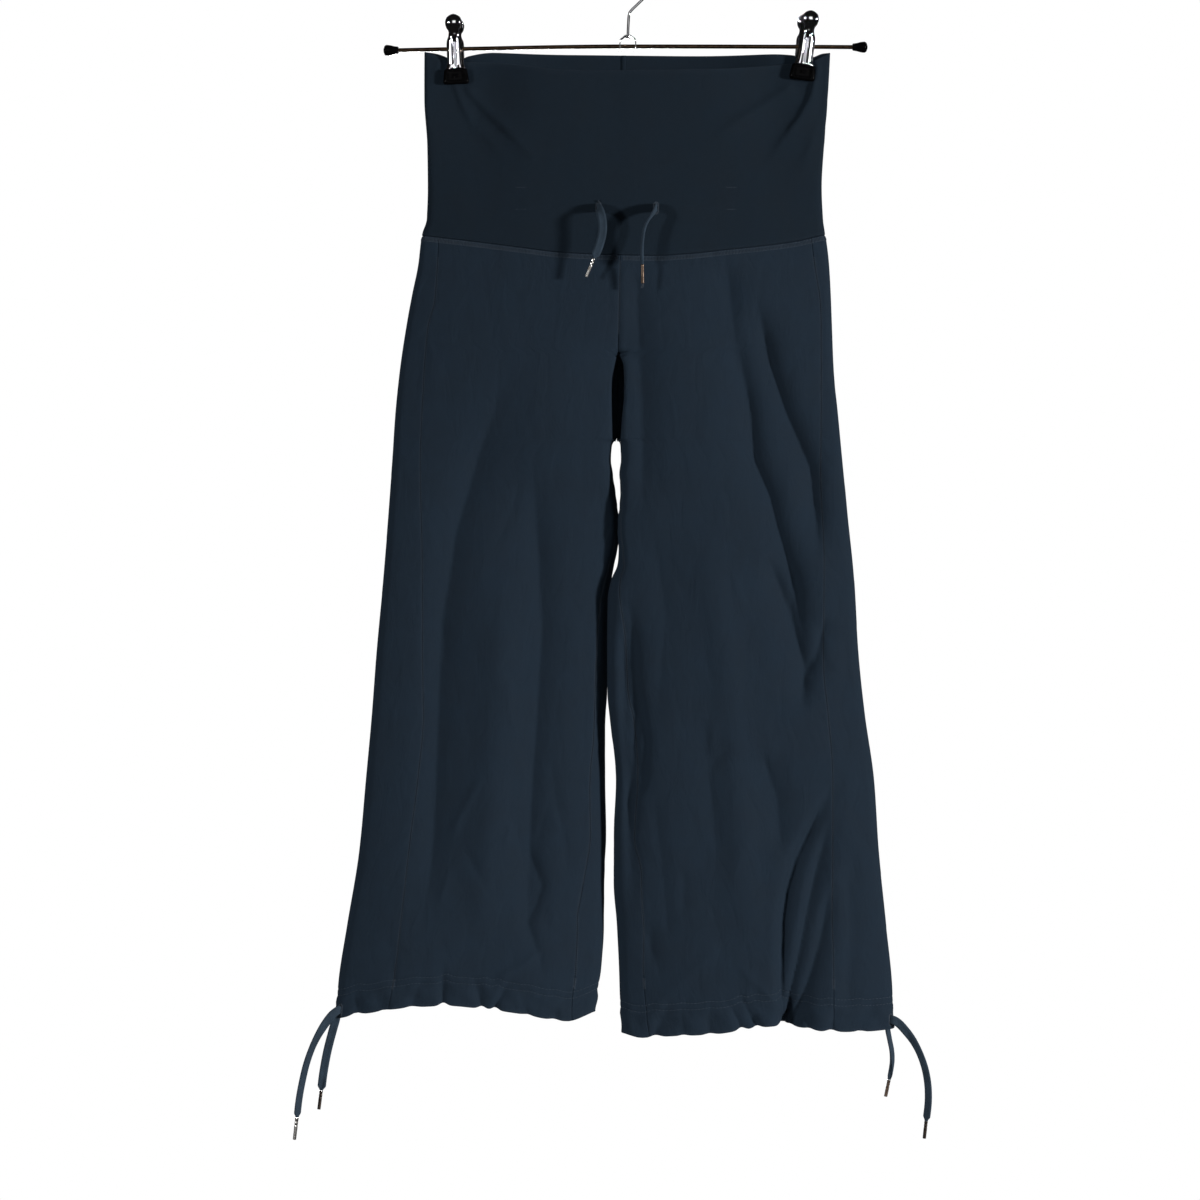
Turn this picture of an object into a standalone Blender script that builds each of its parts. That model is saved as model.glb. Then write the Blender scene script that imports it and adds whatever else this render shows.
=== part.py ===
"""Capri pants with a high waistband, hanging from a metal clip hanger.

The cloth is pinched flat in two spring clips, one near each end of the waistband, and hangs as a
flattened tube that divides into two wide legs. Every panel is a thin wall: its outer face is read
from one shape function of the garment and its inner face lies one cloth thickness inside. Sizes
are in millimetres and become metres when a mesh is made. X runs to the viewer's right, the front
faces -Y, Z is up, and the origin is where the rail bears inside the top of the hook. Heights are
given as `drop`, the distance below that point.
"""
import math

import bmesh
import bpy
import numpy as np
from mathutils import Vector

for old in list(bpy.data.objects):
    bpy.data.objects.remove(old, do_unlink=True)

MM = 0.001
LEFT, RIGHT = -1, 1
FRONT, BACK = -1, 1

# ---- driving sizes, mm ----
SEAM_GAP = 0.3          # space between neighbouring pieces
LEG_WALL = 1.2          # one layer of brushed knit
BAND_WALL = 1.6         # the waistband is folded double
CASING_WALL = 2.0       # the hem is turned up over its drawcord
CASING_HEIGHT = 21.0
CROTCH_DROP = 414.5     # where the two inseams and the two rises meet
PINCH_DEPTH = BAND_WALL + 0.2

ROD_DIAMETER = 3.4
ROD = {"x": (-199, -145, -1, 145, 193.2), "drop": (91.1, 90.0, 87.8, 88.1, 88.4)}   # it bows under the load
TIP_SOCKET = 7.7        # how far the rod goes into each rubber tip
HOOK_WIRE = 2.2
HOOK_RADIUS = 25.3      # to the middle of the wire
HOOK_BEND_DROP = 60.0
SHEET = 1.0             # pressed steel of the clips
PAD_THICKNESS = 5.4

CORD_WIDTH, CORD_THICKNESS = 7.0, 2.4
AGLET_DIAMETER = 2.9
SLOT_WIDTH, SLOT_HEIGHT = 3.0, 8.6

# ---- outlines and sections; each row is one height or one place across ----
OUTER_FOLD = {          # x of the side folds
    "drop": (94, 132, 170, 207, 232, 244, 269, 294, 319, 356, 394, 431, 481, 531, 589, 643, 697, 755,
             817, 867, 905),
    "left": (-170, -170, -167.5, -167, -168, -172, -175, -180, -184.5, -190, -194, -196.5, -200, -204,
             -209.5, -213.5, -218.5, -224, -234, -241.5, -244),
    "right": (167, 165, 162, 160, 161, 163, 166, 167.5, 168.5, 170, 173.5, 177, 182, 187, 190.5, 196,
              203.5, 207.5, 213.5, 218.5, 220),
}
INNER_FOLD = {          # x of the folds between the legs, and how far each leans forward or back
    "drop": (414.5, 417, 421, 431, 443.5, 456, 468.5, 481, 497.5, 506, 518, 531, 547, 589, 625, 642,
             655, 697, 742, 780, 817, 854, 879, 909),
    "left": (-10.4, -11.4, -13.2, -14.9, -13.3, -11.6, -10, -8.2, -8.4, -10, -12.3, -14.6, -17, -17.6,
             -18.2, -19.4, -19.9, -19.9, -19.1, -20.8, -20.8, -23.2, -27.4, -30),
    "right": (-10.4, -9.5, -8, -6.9, -8.2, -7, -7.6, -9.1, -9.2, -8.4, -9.6, -15, -17.8, -18.2, -18,
              -16.4, -14.9, -10.8, -12.5, -12.5, -10, -8.3, -7.5, -5.8),
    "left_lean": (0, 0, 0, -0.5, -2, -4, -5.5, -6, -6, -6, -5.5, -5, -4.8, -4.6, -4, -3, -2, 0, 0, 0,
                  0, 0, 0, 0),
    "right_lean": (0, 0, 0, 0.5, 2, 4, 5.5, 6, 6, 6, 5.5, 5, 4.8, 4.6, 4, 3, 2, 0, 0, 0, 0, 0, 0, 0),
}
SECTION = {             # belly of each layer, and the width and half depth of the rounded folds
    "drop": (94, 170, 245, 300, 360, 415, 445, 480, 550, 630, 720, 820, 909),
    "front": (12, 12, 13, 12, 9, 8, 9, 10, 12, 13, 14, 15, 14),
    "back": (9, 10, 13, 15, 15, 12, 12, 12, 13, 14, 15, 16, 15),
    "outer_width": (5, 5, 5, 6, 6, 7, 7, 7, 7, 7, 7, 7, 6),
    "outer_depth": (4, 4.5, 5, 5.5, 6, 6.5, 7, 7, 7, 7, 7, 7, 6),
    "inner_width": (6, 6, 6, 6, 6.5, 7, 7, 7, 12, 14, 12, 9, 7),
    "inner_depth": (5, 6, 8, 11, 15, 17, 13, 9, 10, 11, 10, 8, 6),
}
CENTRE = {"drop": (94, 245, 340, 414.5), "x": (-4, -7, -9, -10.4)}
RISE = {                # how far the two legs have grown into one body above the crotch
    "height": (0, 2, 6, 14, 24, 46, 62, 76, 100, 130, 165),
    "front": (0, 0.0006, 0.0008, 0.001, 0.0012, 0.002, 0.012, 0.08, 0.35, 0.75, 1),
    "back": (0, 0.01, 0.03, 0.07, 0.16, 0.45, 0.62, 0.76, 0.9, 1, 1),
}
SIDE_SEAM = {           # x of the outer seam, on the front layer
    "drop": (245, 277, 300, 322, 372, 437, 514, 601, 645, 696, 755, 806, 848, 895),
    "left": (-157.5, -159, -161, -166.5, -170.3, -172.8, -171.2, -170.8, -170.2, -174.5, -182, -187.7,
             -192.5, -199.5),
    "right": (150.5, 154.8, 158.3, 159, 159, 158.5, 161, 160.5, 164.5, 168, 168, 167.5, 168.5, 169),
}
INSEAM = {              # how far round from the inner fold the inseam lies, on the front layer
    "drop": (414.5, 440, 500, 546, 580, 622, 650, 696, 744, 772, 810, 848, 909),
    "left": (0, 1, 3, 6, 9, 10, 9, 12.5, 13, 16, 22, 21, 17),
    "right": (0, 1, 3, 10, 15, 17, 20, 18, 17, 22.5, 22, 20, 22.5),
}
RIM = {                 # top edge of the waistband
    "x": (-170, -161, -153, -144, -134, -112, -97, -54, -20, 29, 77, 118, 136, 145, 153, 161, 167),
    "front": (92.2, 95, 98.5, 103, 101, 102, 103.5, 109, 109.6, 109.1, 107.7, 104, 102.5, 102.5, 100,
              96, 93),
    "back": (92.2, 93.5, 96, 101.5, 96, 92.6, 92.5, 92.8, 93, 93.6, 94, 94, 95, 99, 96.5, 93.5, 93),
}
WAIST_SEAM = {
    "x": (-170, -129, -93, -54, -20, 21, 53, 78, 114, 138, 161),
    "front": (245.5, 250.8, 255.8, 260.7, 262.4, 263.2, 261.3, 258.3, 254.1, 250.4, 245),
    "back": (245.5, 248, 250, 251.5, 252, 252, 251.5, 250.5, 248.5, 247, 245),
}
HEM_LEFT = {
    "x": (-244, -217, -190, -150, -117, -91, -50, -30),
    "front": (894.5, 889, 884.5, 882, 885, 888.5, 895.5, 889),
    "back": (894.5, 889, 885, 882.5, 884, 886, 888, 889),
}
HEM_RIGHT = {
    "x": (-5, 9, 35, 68, 100, 121, 141, 167, 194, 220),
    "front": (906.5, 909.5, 907.5, 905.7, 901, 899, 900.7, 904, 904, 902.5),
    "back": (906.5, 906, 903, 901, 899.5, 899, 900, 901, 902, 902.5),
}

# One row for each large fold: the layer, how far it sinks in (less than 0 stands out), half its
# width, and its line as (x, drop).
FOLDS = (
    (FRONT, 4.5, 16, ((-94, 345), (-125, 430), (-143, 491), (-155, 570), (-160, 706), (-163, 763),
                      (-174, 838))),
    (FRONT, 3.6, 15, ((-82, 442), (-71, 570), (-74, 639), (-79, 715), (-83, 820))),
    (FRONT, -2.6, 15, ((-104, 520), (-108, 640), (-118, 760), (-122, 840))),
    (FRONT, 3.4, 14, ((113, 333), (120, 394), (144, 442), (150, 480))),
    (FRONT, 4.0, 15, ((101, 467), (131, 516), (144, 577), (150, 601))),
    (FRONT, 6.0, 14, ((162, 715), (147, 744), (134, 772), (128, 801), (125, 848), (125, 873),
                      (128, 899))),
    (FRONT, -3.0, 16, ((60, 470), (80, 600), (92, 740), (96, 850))),
    (FRONT, 2.2, 8, ((-138.5, 126), (-112, 150), (-85, 173))),
    (FRONT, 2.4, 9, ((136, 124), (95, 147), (53, 173))),
    (FRONT, 3.4, 8, ((157, 110), (150.6, 128.5), (133, 155), (109, 179))),
    (BACK, 4.2, 17, ((-100, 330), (-128, 450), (-150, 590), (-158, 720), (-170, 850))),
    (BACK, 3.8, 16, ((-60, 480), (-72, 600), (-84, 740), (-92, 850))),
    (BACK, 3.6, 16, ((96, 320), (118, 420), (140, 540), (148, 640))),
    (BACK, 4.6, 15, ((60, 500), (70, 640), (96, 760), (108, 880))),
    (BACK, 2.2, 9, ((-136, 124), (-96, 152), (-62, 176))),
    (BACK, 2.2, 9, ((136, 122), (100, 150), (66, 174))),
)
# One row for each pucker of the drawn hems: the leg, the layer, x, half width, depth, lift.
GATHERS = (
    (LEFT, FRONT, -226, 6, 2.2, 1.6), (LEFT, FRONT, -180, 7, 1.4, 0.8), (LEFT, FRONT, -154, 6, 2.6, 1.8),
    (LEFT, FRONT, -122, 6, 2.4, 1.6), (LEFT, FRONT, -108, 6, 2.6, 1.8), (LEFT, FRONT, -66, 7, 1.4, 0.8),
    (RIGHT, FRONT, 21, 6, 2.2, 1.4), (RIGHT, FRONT, 60, 7, 1.2, 0.6), (RIGHT, FRONT, 92, 6, 2.4, 1.8),
    (RIGHT, FRONT, 106, 6, 2.6, 1.6), (RIGHT, FRONT, 127, 6, 4.2, 3.0), (RIGHT, FRONT, 166, 6, 2.4, 1.6),
    (LEFT, BACK, -214, 7, 2.2, 1.4), (LEFT, BACK, -172, 7, 2.6, 1.8), (LEFT, BACK, -136, 7, 2.2, 1.4),
    (LEFT, BACK, -98, 7, 2.6, 1.8), (LEFT, BACK, -62, 7, 2.0, 1.2), (RIGHT, BACK, 34, 7, 2.4, 1.6),
    (RIGHT, BACK, 74, 7, 2.2, 1.4), (RIGHT, BACK, 116, 7, 3.0, 2.2), (RIGHT, BACK, 150, 7, 2.2, 1.4),
    (RIGHT, BACK, 188, 7, 2.4, 1.6),
)
# Middle and bottom of each clip's jaw, and how far the tops of its two halves lean to the right.
CLIPS = {
    "left": {"x": -143.2, "jaw_bottom": 119.8, "lean": math.radians(-2.4), "rear_lean": math.radians(-1.0)},
    "right": {"x": 143.0, "jaw_bottom": 116.3, "lean": math.radians(8.1), "rear_lean": math.radians(4.6)},
}
PINCH_HALF_WIDTH = 13.5
PINCH_BELOW = 6.0       # the cloth stays flat this far below the jaws
PINCH_FADE_ACROSS = 13.0
PINCH_FADE_DOWN = 40.0
FOLD_MARGIN = 22.0      # folds and puckers die out this near to the side folds
PUCKER_REACH = 60.0     # how far up from the hem a pucker runs


def smooth(value):
    """0 below 0, 1 above 1, and an even ease between."""
    value = np.clip(value, 0.0, 1.0)
    return value * value * (3.0 - 2.0 * value)


def read(table, across, column, place):
    """A table's column at any place, by a cubic through its rows that never overshoots them."""
    xs = np.asarray(table[across], float)
    ys = np.asarray(table[column], float)
    steps = np.diff(xs)
    slopes = np.diff(ys) / steps
    bend = np.zeros(len(xs))
    same_way = slopes[1:] * slopes[:-1] > 0.0
    bend[1:-1] = np.where(same_way, 2.0 * slopes[1:] * slopes[:-1] / (slopes[1:] + slopes[:-1] + 1e-12), 0.0)
    bend[0], bend[-1] = slopes[0], slopes[-1]
    place = np.clip(np.asarray(place, float), xs[0], xs[-1])
    row = np.clip(np.searchsorted(xs, place) - 1, 0, len(steps) - 1)
    part = (place - xs[row]) / steps[row]
    squared, cubed = part ** 2, part ** 3
    return ((2 * cubed - 3 * squared + 1) * ys[row] + (cubed - 2 * squared + part) * steps[row] * bend[row]
            + (3 * squared - 2 * cubed) * ys[row + 1] + (cubed - squared) * steps[row] * bend[row + 1])


def column_of(side):
    return "left" if side == LEFT else "right"


def line_distance(x, drop, line):
    """Distance from points on the cloth to a line, and how far along it the nearest point lies."""
    best = np.full(np.shape(x), 1e9)
    along = np.zeros(np.shape(x))
    spans = [math.dist(a, b) for a, b in zip(line, line[1:])]
    total = sum(spans)
    passed = 0.0
    for start, end, span in zip(line, line[1:], spans):
        dx, dz = (end[0] - start[0]) / span, (end[1] - start[1]) / span
        reach = np.clip((x - start[0]) * dx + (drop - start[1]) * dz, 0.0, span)
        away = np.hypot(x - start[0] - reach * dx, drop - start[1] - reach * dz)
        closer = away < best
        best = np.where(closer, away, best)
        along = np.where(closer, (passed + reach) / total, along)
        passed += span
    return best, along


def pinched(x, drop):
    """1 where a clip holds the cloth flat, fading to 0 across and below it."""
    held = np.zeros(np.shape(x))
    for clip in CLIPS.values():
        across = np.maximum(np.abs(x - clip["x"]) - PINCH_HALF_WIDTH, 0.0) / PINCH_FADE_ACROSS
        below = np.maximum(drop - clip["jaw_bottom"] - PINCH_BELOW, 0.0) / PINCH_FADE_DOWN
        held = np.maximum(held, np.exp(-across ** 2 - below ** 2))
    return held


def hem_drop(side, layer, x):
    """Height of the bottom edge, with its puckers drawn up."""
    table = HEM_LEFT if side == LEFT else HEM_RIGHT
    edge = read(table, "x", "front" if layer == FRONT else "back", x)
    for leg, face, place, width, _depth, lift in GATHERS:
        if leg == side and face == layer:
            edge = edge - lift * np.exp(-((x - place) / width) ** 2)
    return edge


def surface(side, turn, drop, centre_gap=0.0):
    """The outer face of the cloth as (x, y, z) rows.

    `turn` goes round one half of the body: 0 is the inner end of the front layer, 1 the outer
    fold, and 2 the inner end of the back layer. Above the crotch both inner ends lie on the
    centre line, and below it they meet on the leg's inner fold.
    """
    turn, drop = np.broadcast_arrays(np.asarray(turn, float), np.asarray(drop, float))
    turn = np.where(turn > 2.0, turn - 2.0, turn)
    turn = np.where(turn < 0.0, turn + 2.0, turn)
    is_front = turn <= 1.0
    layer = np.where(is_front, FRONT, BACK)
    inward = np.where(is_front, turn, 2.0 - turn)
    column = column_of(side)

    above = drop <= CROTCH_DROP
    centre = read(CENTRE, "drop", "x", drop) + side * centre_gap / 2.0
    gap_left = smooth((CROTCH_DROP + 4.0 - drop) / 4.0)
    fold = read(INNER_FOLD, "drop", column, drop) + side * centre_gap / 2.0 * gap_left
    inner_x = np.where(above, centre, fold)
    outer_x = read(OUTER_FOLD, "drop", column, drop)
    width = np.abs(outer_x - inner_x)
    height = np.maximum(CROTCH_DROP - drop, 0.0)
    grown = np.where(is_front, read(RISE, "height", "front", height), read(RISE, "height", "back", height))
    hidden = grown * width
    whole = width + hidden
    start = np.arccos(np.clip(1.0 - 2.0 * hidden / whole, -1.0, 1.0))
    across = 0.5 * (1.0 - np.cos(start + (math.pi - start) * inward))
    x = outer_x - np.sign(outer_x - inner_x) * whole * (1.0 - across)

    from_inner, from_outer = whole * across, whole * (1.0 - across)
    shown = np.clip((from_inner - hidden) / width, 0.0, 1.0)
    ends = [read(SECTION, "drop", name, drop) for name in
            ("inner_width", "inner_depth", "outer_width", "outer_depth")]
    inner_round = np.sqrt(1.0 - (1.0 - np.clip(from_inner / ends[0], 0.0, 1.0)) ** 2)
    outer_round = np.sqrt(1.0 - (1.0 - np.clip(from_outer / ends[2], 0.0, 1.0)) ** 2)
    fold_depth = (ends[1] + (ends[3] - ends[1]) * smooth(shown)) * inner_round * outer_round
    belly = np.where(is_front, read(SECTION, "drop", "front", drop), read(SECTION, "drop", "back", drop))
    depth = fold_depth + belly * 4.0 * across * (1.0 - across)

    inside = smooth(np.minimum(from_inner, from_outer) / FOLD_MARGIN)
    for face, sink, half_width, line in FOLDS:
        if np.any(layer == face):
            away, along = line_distance(x, drop, line)
            taper = smooth(along / 0.22) * smooth((1.0 - along) / 0.22)
            trough = sink * taper * inside * np.exp(-(away / half_width) ** 2)
            depth = depth - np.where(layer == face, trough, 0.0)
    for leg, face, place, half_width, sink, _lift in GATHERS:
        if leg == side:
            edge = np.where(layer == FRONT, hem_drop(side, FRONT, x), hem_drop(side, BACK, x))
            near_hem = smooth(1.0 - (edge - drop) / PUCKER_REACH)
            pucker = sink * near_hem * np.exp(-((x - place) / half_width) ** 2)
            depth = depth - np.where(layer == face, pucker * inside, 0.0)
    held = pinched(x, drop)
    depth = depth * (1.0 - held) + np.minimum(depth, PINCH_DEPTH) * held
    lean = np.where(above, 0.0, read(INNER_FOLD, "drop", column + "_lean", drop)) * (1.0 - shown) ** 2
    return np.stack([x, layer * depth + lean, -drop], axis=-1)


def facing(side, turn, drop, centre_gap=0.0):
    """Unit normals of the outer face, pointing out of the garment."""
    step_turn, step_drop = 2e-3, 0.4
    turn, drop = np.broadcast_arrays(np.asarray(turn, float), np.asarray(drop, float))
    closed = drop > CROTCH_DROP
    ahead = np.where(closed, turn + step_turn, np.minimum(turn + step_turn, 2.0))
    behind = np.where(closed, turn - step_turn, np.maximum(turn - step_turn, 0.0))
    along = surface(side, ahead, drop, centre_gap) - surface(side, behind, drop, centre_gap)
    down = (surface(side, turn, drop + step_drop, centre_gap)
            - surface(side, turn, drop - step_drop, centre_gap))
    normal = np.cross(down, along) * side
    return normal / np.maximum(np.linalg.norm(normal, axis=-1, keepdims=True), 1e-9)


def turn_at(side, drop, x):
    """Where on the front layer a seam at x lies, as a turn from 0 to 1."""
    turns = np.linspace(0.0, 1.0, 401)
    xs = surface(side, turns, drop)[:, 0] * side
    return float(np.interp(x * side, xs, turns))


def edge_drop(side, turn, kind):
    """Height of the rim, waist seam or hem at each turn."""
    turn = np.asarray(turn, float)
    usual_drop = {"rim": 100.0, "seam": 250.0, "hem": 890.0}[kind]
    x = surface(side, turn, usual_drop)[:, 0]
    wrapped = np.where(turn > 2.0, turn - 2.0, turn)
    is_front = wrapped <= 1.0
    if kind == "hem":
        return np.where(is_front, hem_drop(side, FRONT, x), hem_drop(side, BACK, x))
    table = RIM if kind == "rim" else WAIST_SEAM
    return np.where(is_front, read(table, "x", "front", x), read(table, "x", "back", x))


def spaced(points, normals, tips, count, trims):
    """Pick `count` places along a fine row, closer together near each tip (place, strength, reach)."""
    steps = np.linalg.norm(np.diff(points, axis=0), axis=1)
    length = np.concatenate([[0.0], np.cumsum(steps)])
    crowd = np.ones(len(length))
    for tip, strength, reach in tips:
        crowd += strength * np.exp(-(np.linalg.norm(points - tip, axis=1) / reach) ** 2)
    weight = np.concatenate([[0.0], np.cumsum(0.5 * (crowd[1:] + crowd[:-1]) * steps)])
    first = np.interp(trims[0], length, weight)
    last = np.interp(length[-1] - trims[1], length, weight)
    at = np.interp(np.linspace(first, last, count), weight, length)
    places = np.stack([np.interp(at, length, points[:, axis]) for axis in range(3)], axis=-1)
    facings = np.stack([np.interp(at, length, normals[:, axis]) for axis in range(3)], axis=-1)
    facings /= np.linalg.norm(facings, axis=1, keepdims=True)
    return places, facings


def material(name, colour, roughness, metallic=0.0):
    made = bpy.data.materials.new(name)
    made.use_nodes = True
    shader = made.node_tree.nodes["Principled BSDF"]
    shader.inputs["Base Color"].default_value = (*colour, 1.0)
    shader.inputs["Roughness"].default_value = roughness
    shader.inputs["Metallic"].default_value = metallic
    return made


def new_object(name, mesh, finish):
    part = bpy.data.objects.new(name, mesh)
    mesh.materials.append(finish)
    bpy.context.collection.objects.link(part)
    return part


def closed_mesh(name, shape):
    """A mesh whose faces all point out of the solid."""
    bmesh.ops.recalc_face_normals(shape, faces=shape.faces)
    if shape.calc_volume(signed=True) < 0.0:
        bmesh.ops.reverse_faces(shape, faces=shape.faces)
    mesh = bpy.data.meshes.new(name)
    shape.to_mesh(mesh)
    shape.free()
    return mesh


def wall(name, rows, finish):
    """One closed solid from rows of (points, normals, thickness); rows may differ in length."""
    shape = bmesh.new()
    outer, inner = [], []
    for points, normals, thickness in rows:
        inside = points - normals * thickness
        outer.append([shape.verts.new(Vector(p) * MM) for p in points])
        inner.append([shape.verts.new(Vector(p) * MM) for p in inside])
    for skin in (outer, inner):
        for upper, lower in zip(skin, skin[1:]):
            stitch(shape, upper, lower)
    for end in (0, -1):
        for index in range(len(outer[end]) - 1):
            shape.faces.new((outer[end][index], outer[end][index + 1], inner[end][index + 1],
                             inner[end][index]))
        for row in range(len(outer) - 1):
            shape.faces.new((outer[row][end], outer[row + 1][end], inner[row + 1][end], inner[row][end]))
    mesh = closed_mesh(name, shape)
    mesh.shade_smooth()
    mesh.set_sharp_from_angle(angle=math.radians(50))
    return new_object(name, mesh, finish)


def stitch(shape, upper, lower):
    """Faces between two rows: quads where they match, or a fan of triangles where one is finer."""
    if len(upper) == len(lower):
        for index in range(len(upper) - 1):
            shape.faces.new((upper[index], upper[index + 1], lower[index + 1], lower[index]))
        return
    i, j = 0, 0
    while i < len(upper) - 1 or j < len(lower) - 1:
        upper_next = (i + 1) / (len(upper) - 1)
        lower_next = (j + 1) / (len(lower) - 1)
        if j == len(lower) - 1 or (i < len(upper) - 1 and upper_next <= lower_next):
            shape.faces.new((upper[i], upper[i + 1], lower[j]))
            i += 1
        else:
            shape.faces.new((upper[i], lower[j + 1], lower[j]))
            j += 1


NAVY = material("navy_knit", (0.011, 0.020, 0.031), 0.85)
NAVY_BAND = material("navy_band", (0.009, 0.015, 0.023), 0.85)
CORD = material("navy_braid", (0.012, 0.022, 0.034), 0.9)
CHROME = material("chrome", (0.85, 0.85, 0.86), 0.12, 1.0)
DARK_STEEL = material("dark_steel", (0.09, 0.07, 0.05), 0.3, 1.0)
RUBBER = material("black_rubber", (0.01, 0.01, 0.011), 0.4)
AGLET_STEEL = material("aglet_steel", (0.6, 0.57, 0.54), 0.25, 1.0)


# ---- waistband: one double-thickness tube, closed at the centre-back seam ----
BAND_COLUMNS = 76
FOLD_CROWD, FOLD_REACH = 4.0, 9.0       # how much closer the columns lie round a fold, and how far from it
CLIP_CROWD, CLIP_REACH = 2.6, 17.0
BAND_ROWS = (0.0, 0.05, 0.105, 0.165, 0.26, 0.4, 0.58, 0.8, 1.0)


def waistband():
    turns = np.linspace(0.0, 2.0, 500)
    rows = []
    for part in BAND_ROWS:
        points, normals, tips = [], [], []
        for side, order in ((RIGHT, slice(None, None, -1)), (LEFT, slice(1, None))):
            top = edge_drop(side, turns, "rim")
            bottom = edge_drop(side, turns, "seam") - SEAM_GAP / 2.0
            drop = top + (bottom - top) * part
            points.append(surface(side, turns, drop)[order])
            normals.append(facing(side, turns, drop)[order])
            tips.append((surface(side, 1.0, float(drop[len(drop) // 2])), FOLD_CROWD, FOLD_REACH))
        for clip in CLIPS.values():
            near_jaws = float(1.0 - smooth((part - 0.1) / 0.5))
            for layer in (FRONT, BACK):
                jaw = (clip["x"], layer * PINCH_DEPTH, -float(drop[len(drop) // 2]))
                tips.append((jaw, CLIP_CROWD * near_jaws, CLIP_REACH))
        places, facings = spaced(np.concatenate(points), np.concatenate(normals), tips, BAND_COLUMNS,
                                 (SEAM_GAP / 2.0, SEAM_GAP / 2.0))
        rows.append((places, facings, BAND_WALL))
    return wall("waistband", rows, NAVY_BAND)


# ---- legs: a front and a back panel each; the back panel wraps both folds on to the front ----
RISE_ROWS = (0.0, 0.2, 0.4, 0.57, 0.72, 0.84, 0.93, 0.98)
LEG_ROWS = (0.0, 0.0065, 0.017, 0.04, 0.11, 0.19, 0.29, 0.4, 0.52, 0.64, 0.76, 0.88, 1.0)
CASING_ROWS = (0.5, 1.0)
PANEL_COLUMNS = {"front": (15, 28), "back": (25, 42)}
SIDE_SEAM_TURN = 0.85       # the side seam lies about this far round
INNER_CROWD_FROM = 320.0    # the columns close up on the centre from here down
INNER_CROWD_RUN = 60.0


def leg_row(side, panel, drops, columns, wall_thickness):
    """One row of a leg panel; `drops` gives the row's height at each turn."""
    at_centre = float(drops(np.array([0.0]))[0])
    at_side = float(drops(np.array([SIDE_SEAM_TURN]))[0])
    side_turn = turn_at(side, at_side, float(read(SIDE_SEAM, "drop", column_of(side), at_side)))
    in_turn, trim = 0.0, 0.0
    if at_centre >= CROTCH_DROP:
        trim = SEAM_GAP / 2.0
        fold_x = surface(side, 0.0, at_centre)[0]
        in_x = fold_x + side * float(read(INSEAM, "drop", column_of(side), at_centre))
        in_turn = turn_at(side, at_centre, in_x)
    start, end = (in_turn, side_turn) if panel == "front" else (side_turn, 2.0 + in_turn)
    trims = (trim, SEAM_GAP / 2.0) if panel == "front" else (SEAM_GAP / 2.0, trim)
    turns = np.linspace(start, end, 600)
    drop = drops(turns)
    points = surface(side, turns, drop, SEAM_GAP)
    normals = facing(side, turns, drop, SEAM_GAP)
    deep = FOLD_CROWD * float(smooth((at_centre - INNER_CROWD_FROM) / INNER_CROWD_RUN))
    inner_end = 2.0 if panel == "back" and at_centre < CROTCH_DROP else 0.0
    tips = [(surface(side, inner_end, at_centre, SEAM_GAP), deep, FOLD_REACH)]
    if panel == "back":
        tips.append((surface(side, 1.0, at_side, SEAM_GAP), FOLD_CROWD, FOLD_REACH))
    places, facings = spaced(points, normals, tips, columns, trims)
    return places, facings, wall_thickness


def leg_panel(side, panel):
    plain, fine = PANEL_COLUMNS[panel]
    rows = []

    def between(upper, lower, part):
        return lambda turns: upper(turns) + (lower(turns) - upper(turns)) * part

    def seam(turns):
        return edge_drop(side, turns, "seam") + SEAM_GAP / 2.0

    def crotch(turns):
        return np.full(np.shape(turns), CROTCH_DROP)

    def hem(turns):
        return edge_drop(side, turns, "hem")

    def casing(turns):
        return hem(turns) - CASING_HEIGHT

    for part in RISE_ROWS:
        rows.append(leg_row(side, panel, between(seam, crotch, part), plain, LEG_WALL))
    for part in LEG_ROWS:
        rows.append(leg_row(side, panel, between(crotch, casing, part), plain, LEG_WALL))
    for part in CASING_ROWS:
        rows.append(leg_row(side, panel, between(casing, hem, part), fine, CASING_WALL))
    return wall(f"leg_{column_of(side)}_{panel}", rows, NAVY)


band = waistband()
panels = {(side, panel): leg_panel(side, panel) for side in (LEFT, RIGHT) for panel in ("front", "back")}


# ---- drawcord slots: cut through one wall, square to it ----
SLOTS = {               # side, layer, x, drop, and the piece it is cut in
    "waist_left": (LEFT, FRONT, -25.3, 224.0, band),
    "waist_right": (RIGHT, FRONT, 22.1, 224.0, band),
    "hem_left_front": (LEFT, FRONT, -239.0, 886.8, panels[LEFT, "back"]),
    "hem_left_back": (LEFT, BACK, -239.6, 886.8, panels[LEFT, "back"]),
    "hem_right_front": (RIGHT, FRONT, 216.6, 894.8, panels[RIGHT, "back"]),
    "hem_right_back": (RIGHT, BACK, 215.6, 894.8, panels[RIGHT, "back"]),
}


def slot_place(name):
    """A slot's middle on the outer face, and the way it faces."""
    side, layer, x, drop, _piece = SLOTS[name]
    turn = np.linspace(0.0, 1.0, 801) if layer == FRONT else np.linspace(2.0, 1.0, 801)
    xs = surface(side, turn, drop)[:, 0] * side
    at = float(np.interp(x * side, xs, turn))
    return Vector(surface(side, at, drop)), Vector(facing(side, at, drop))


CUT_DEPTH, CUT_BACK = 6.4, 1.0      # the cutter's depth, and how far its middle lies inside the face


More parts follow.
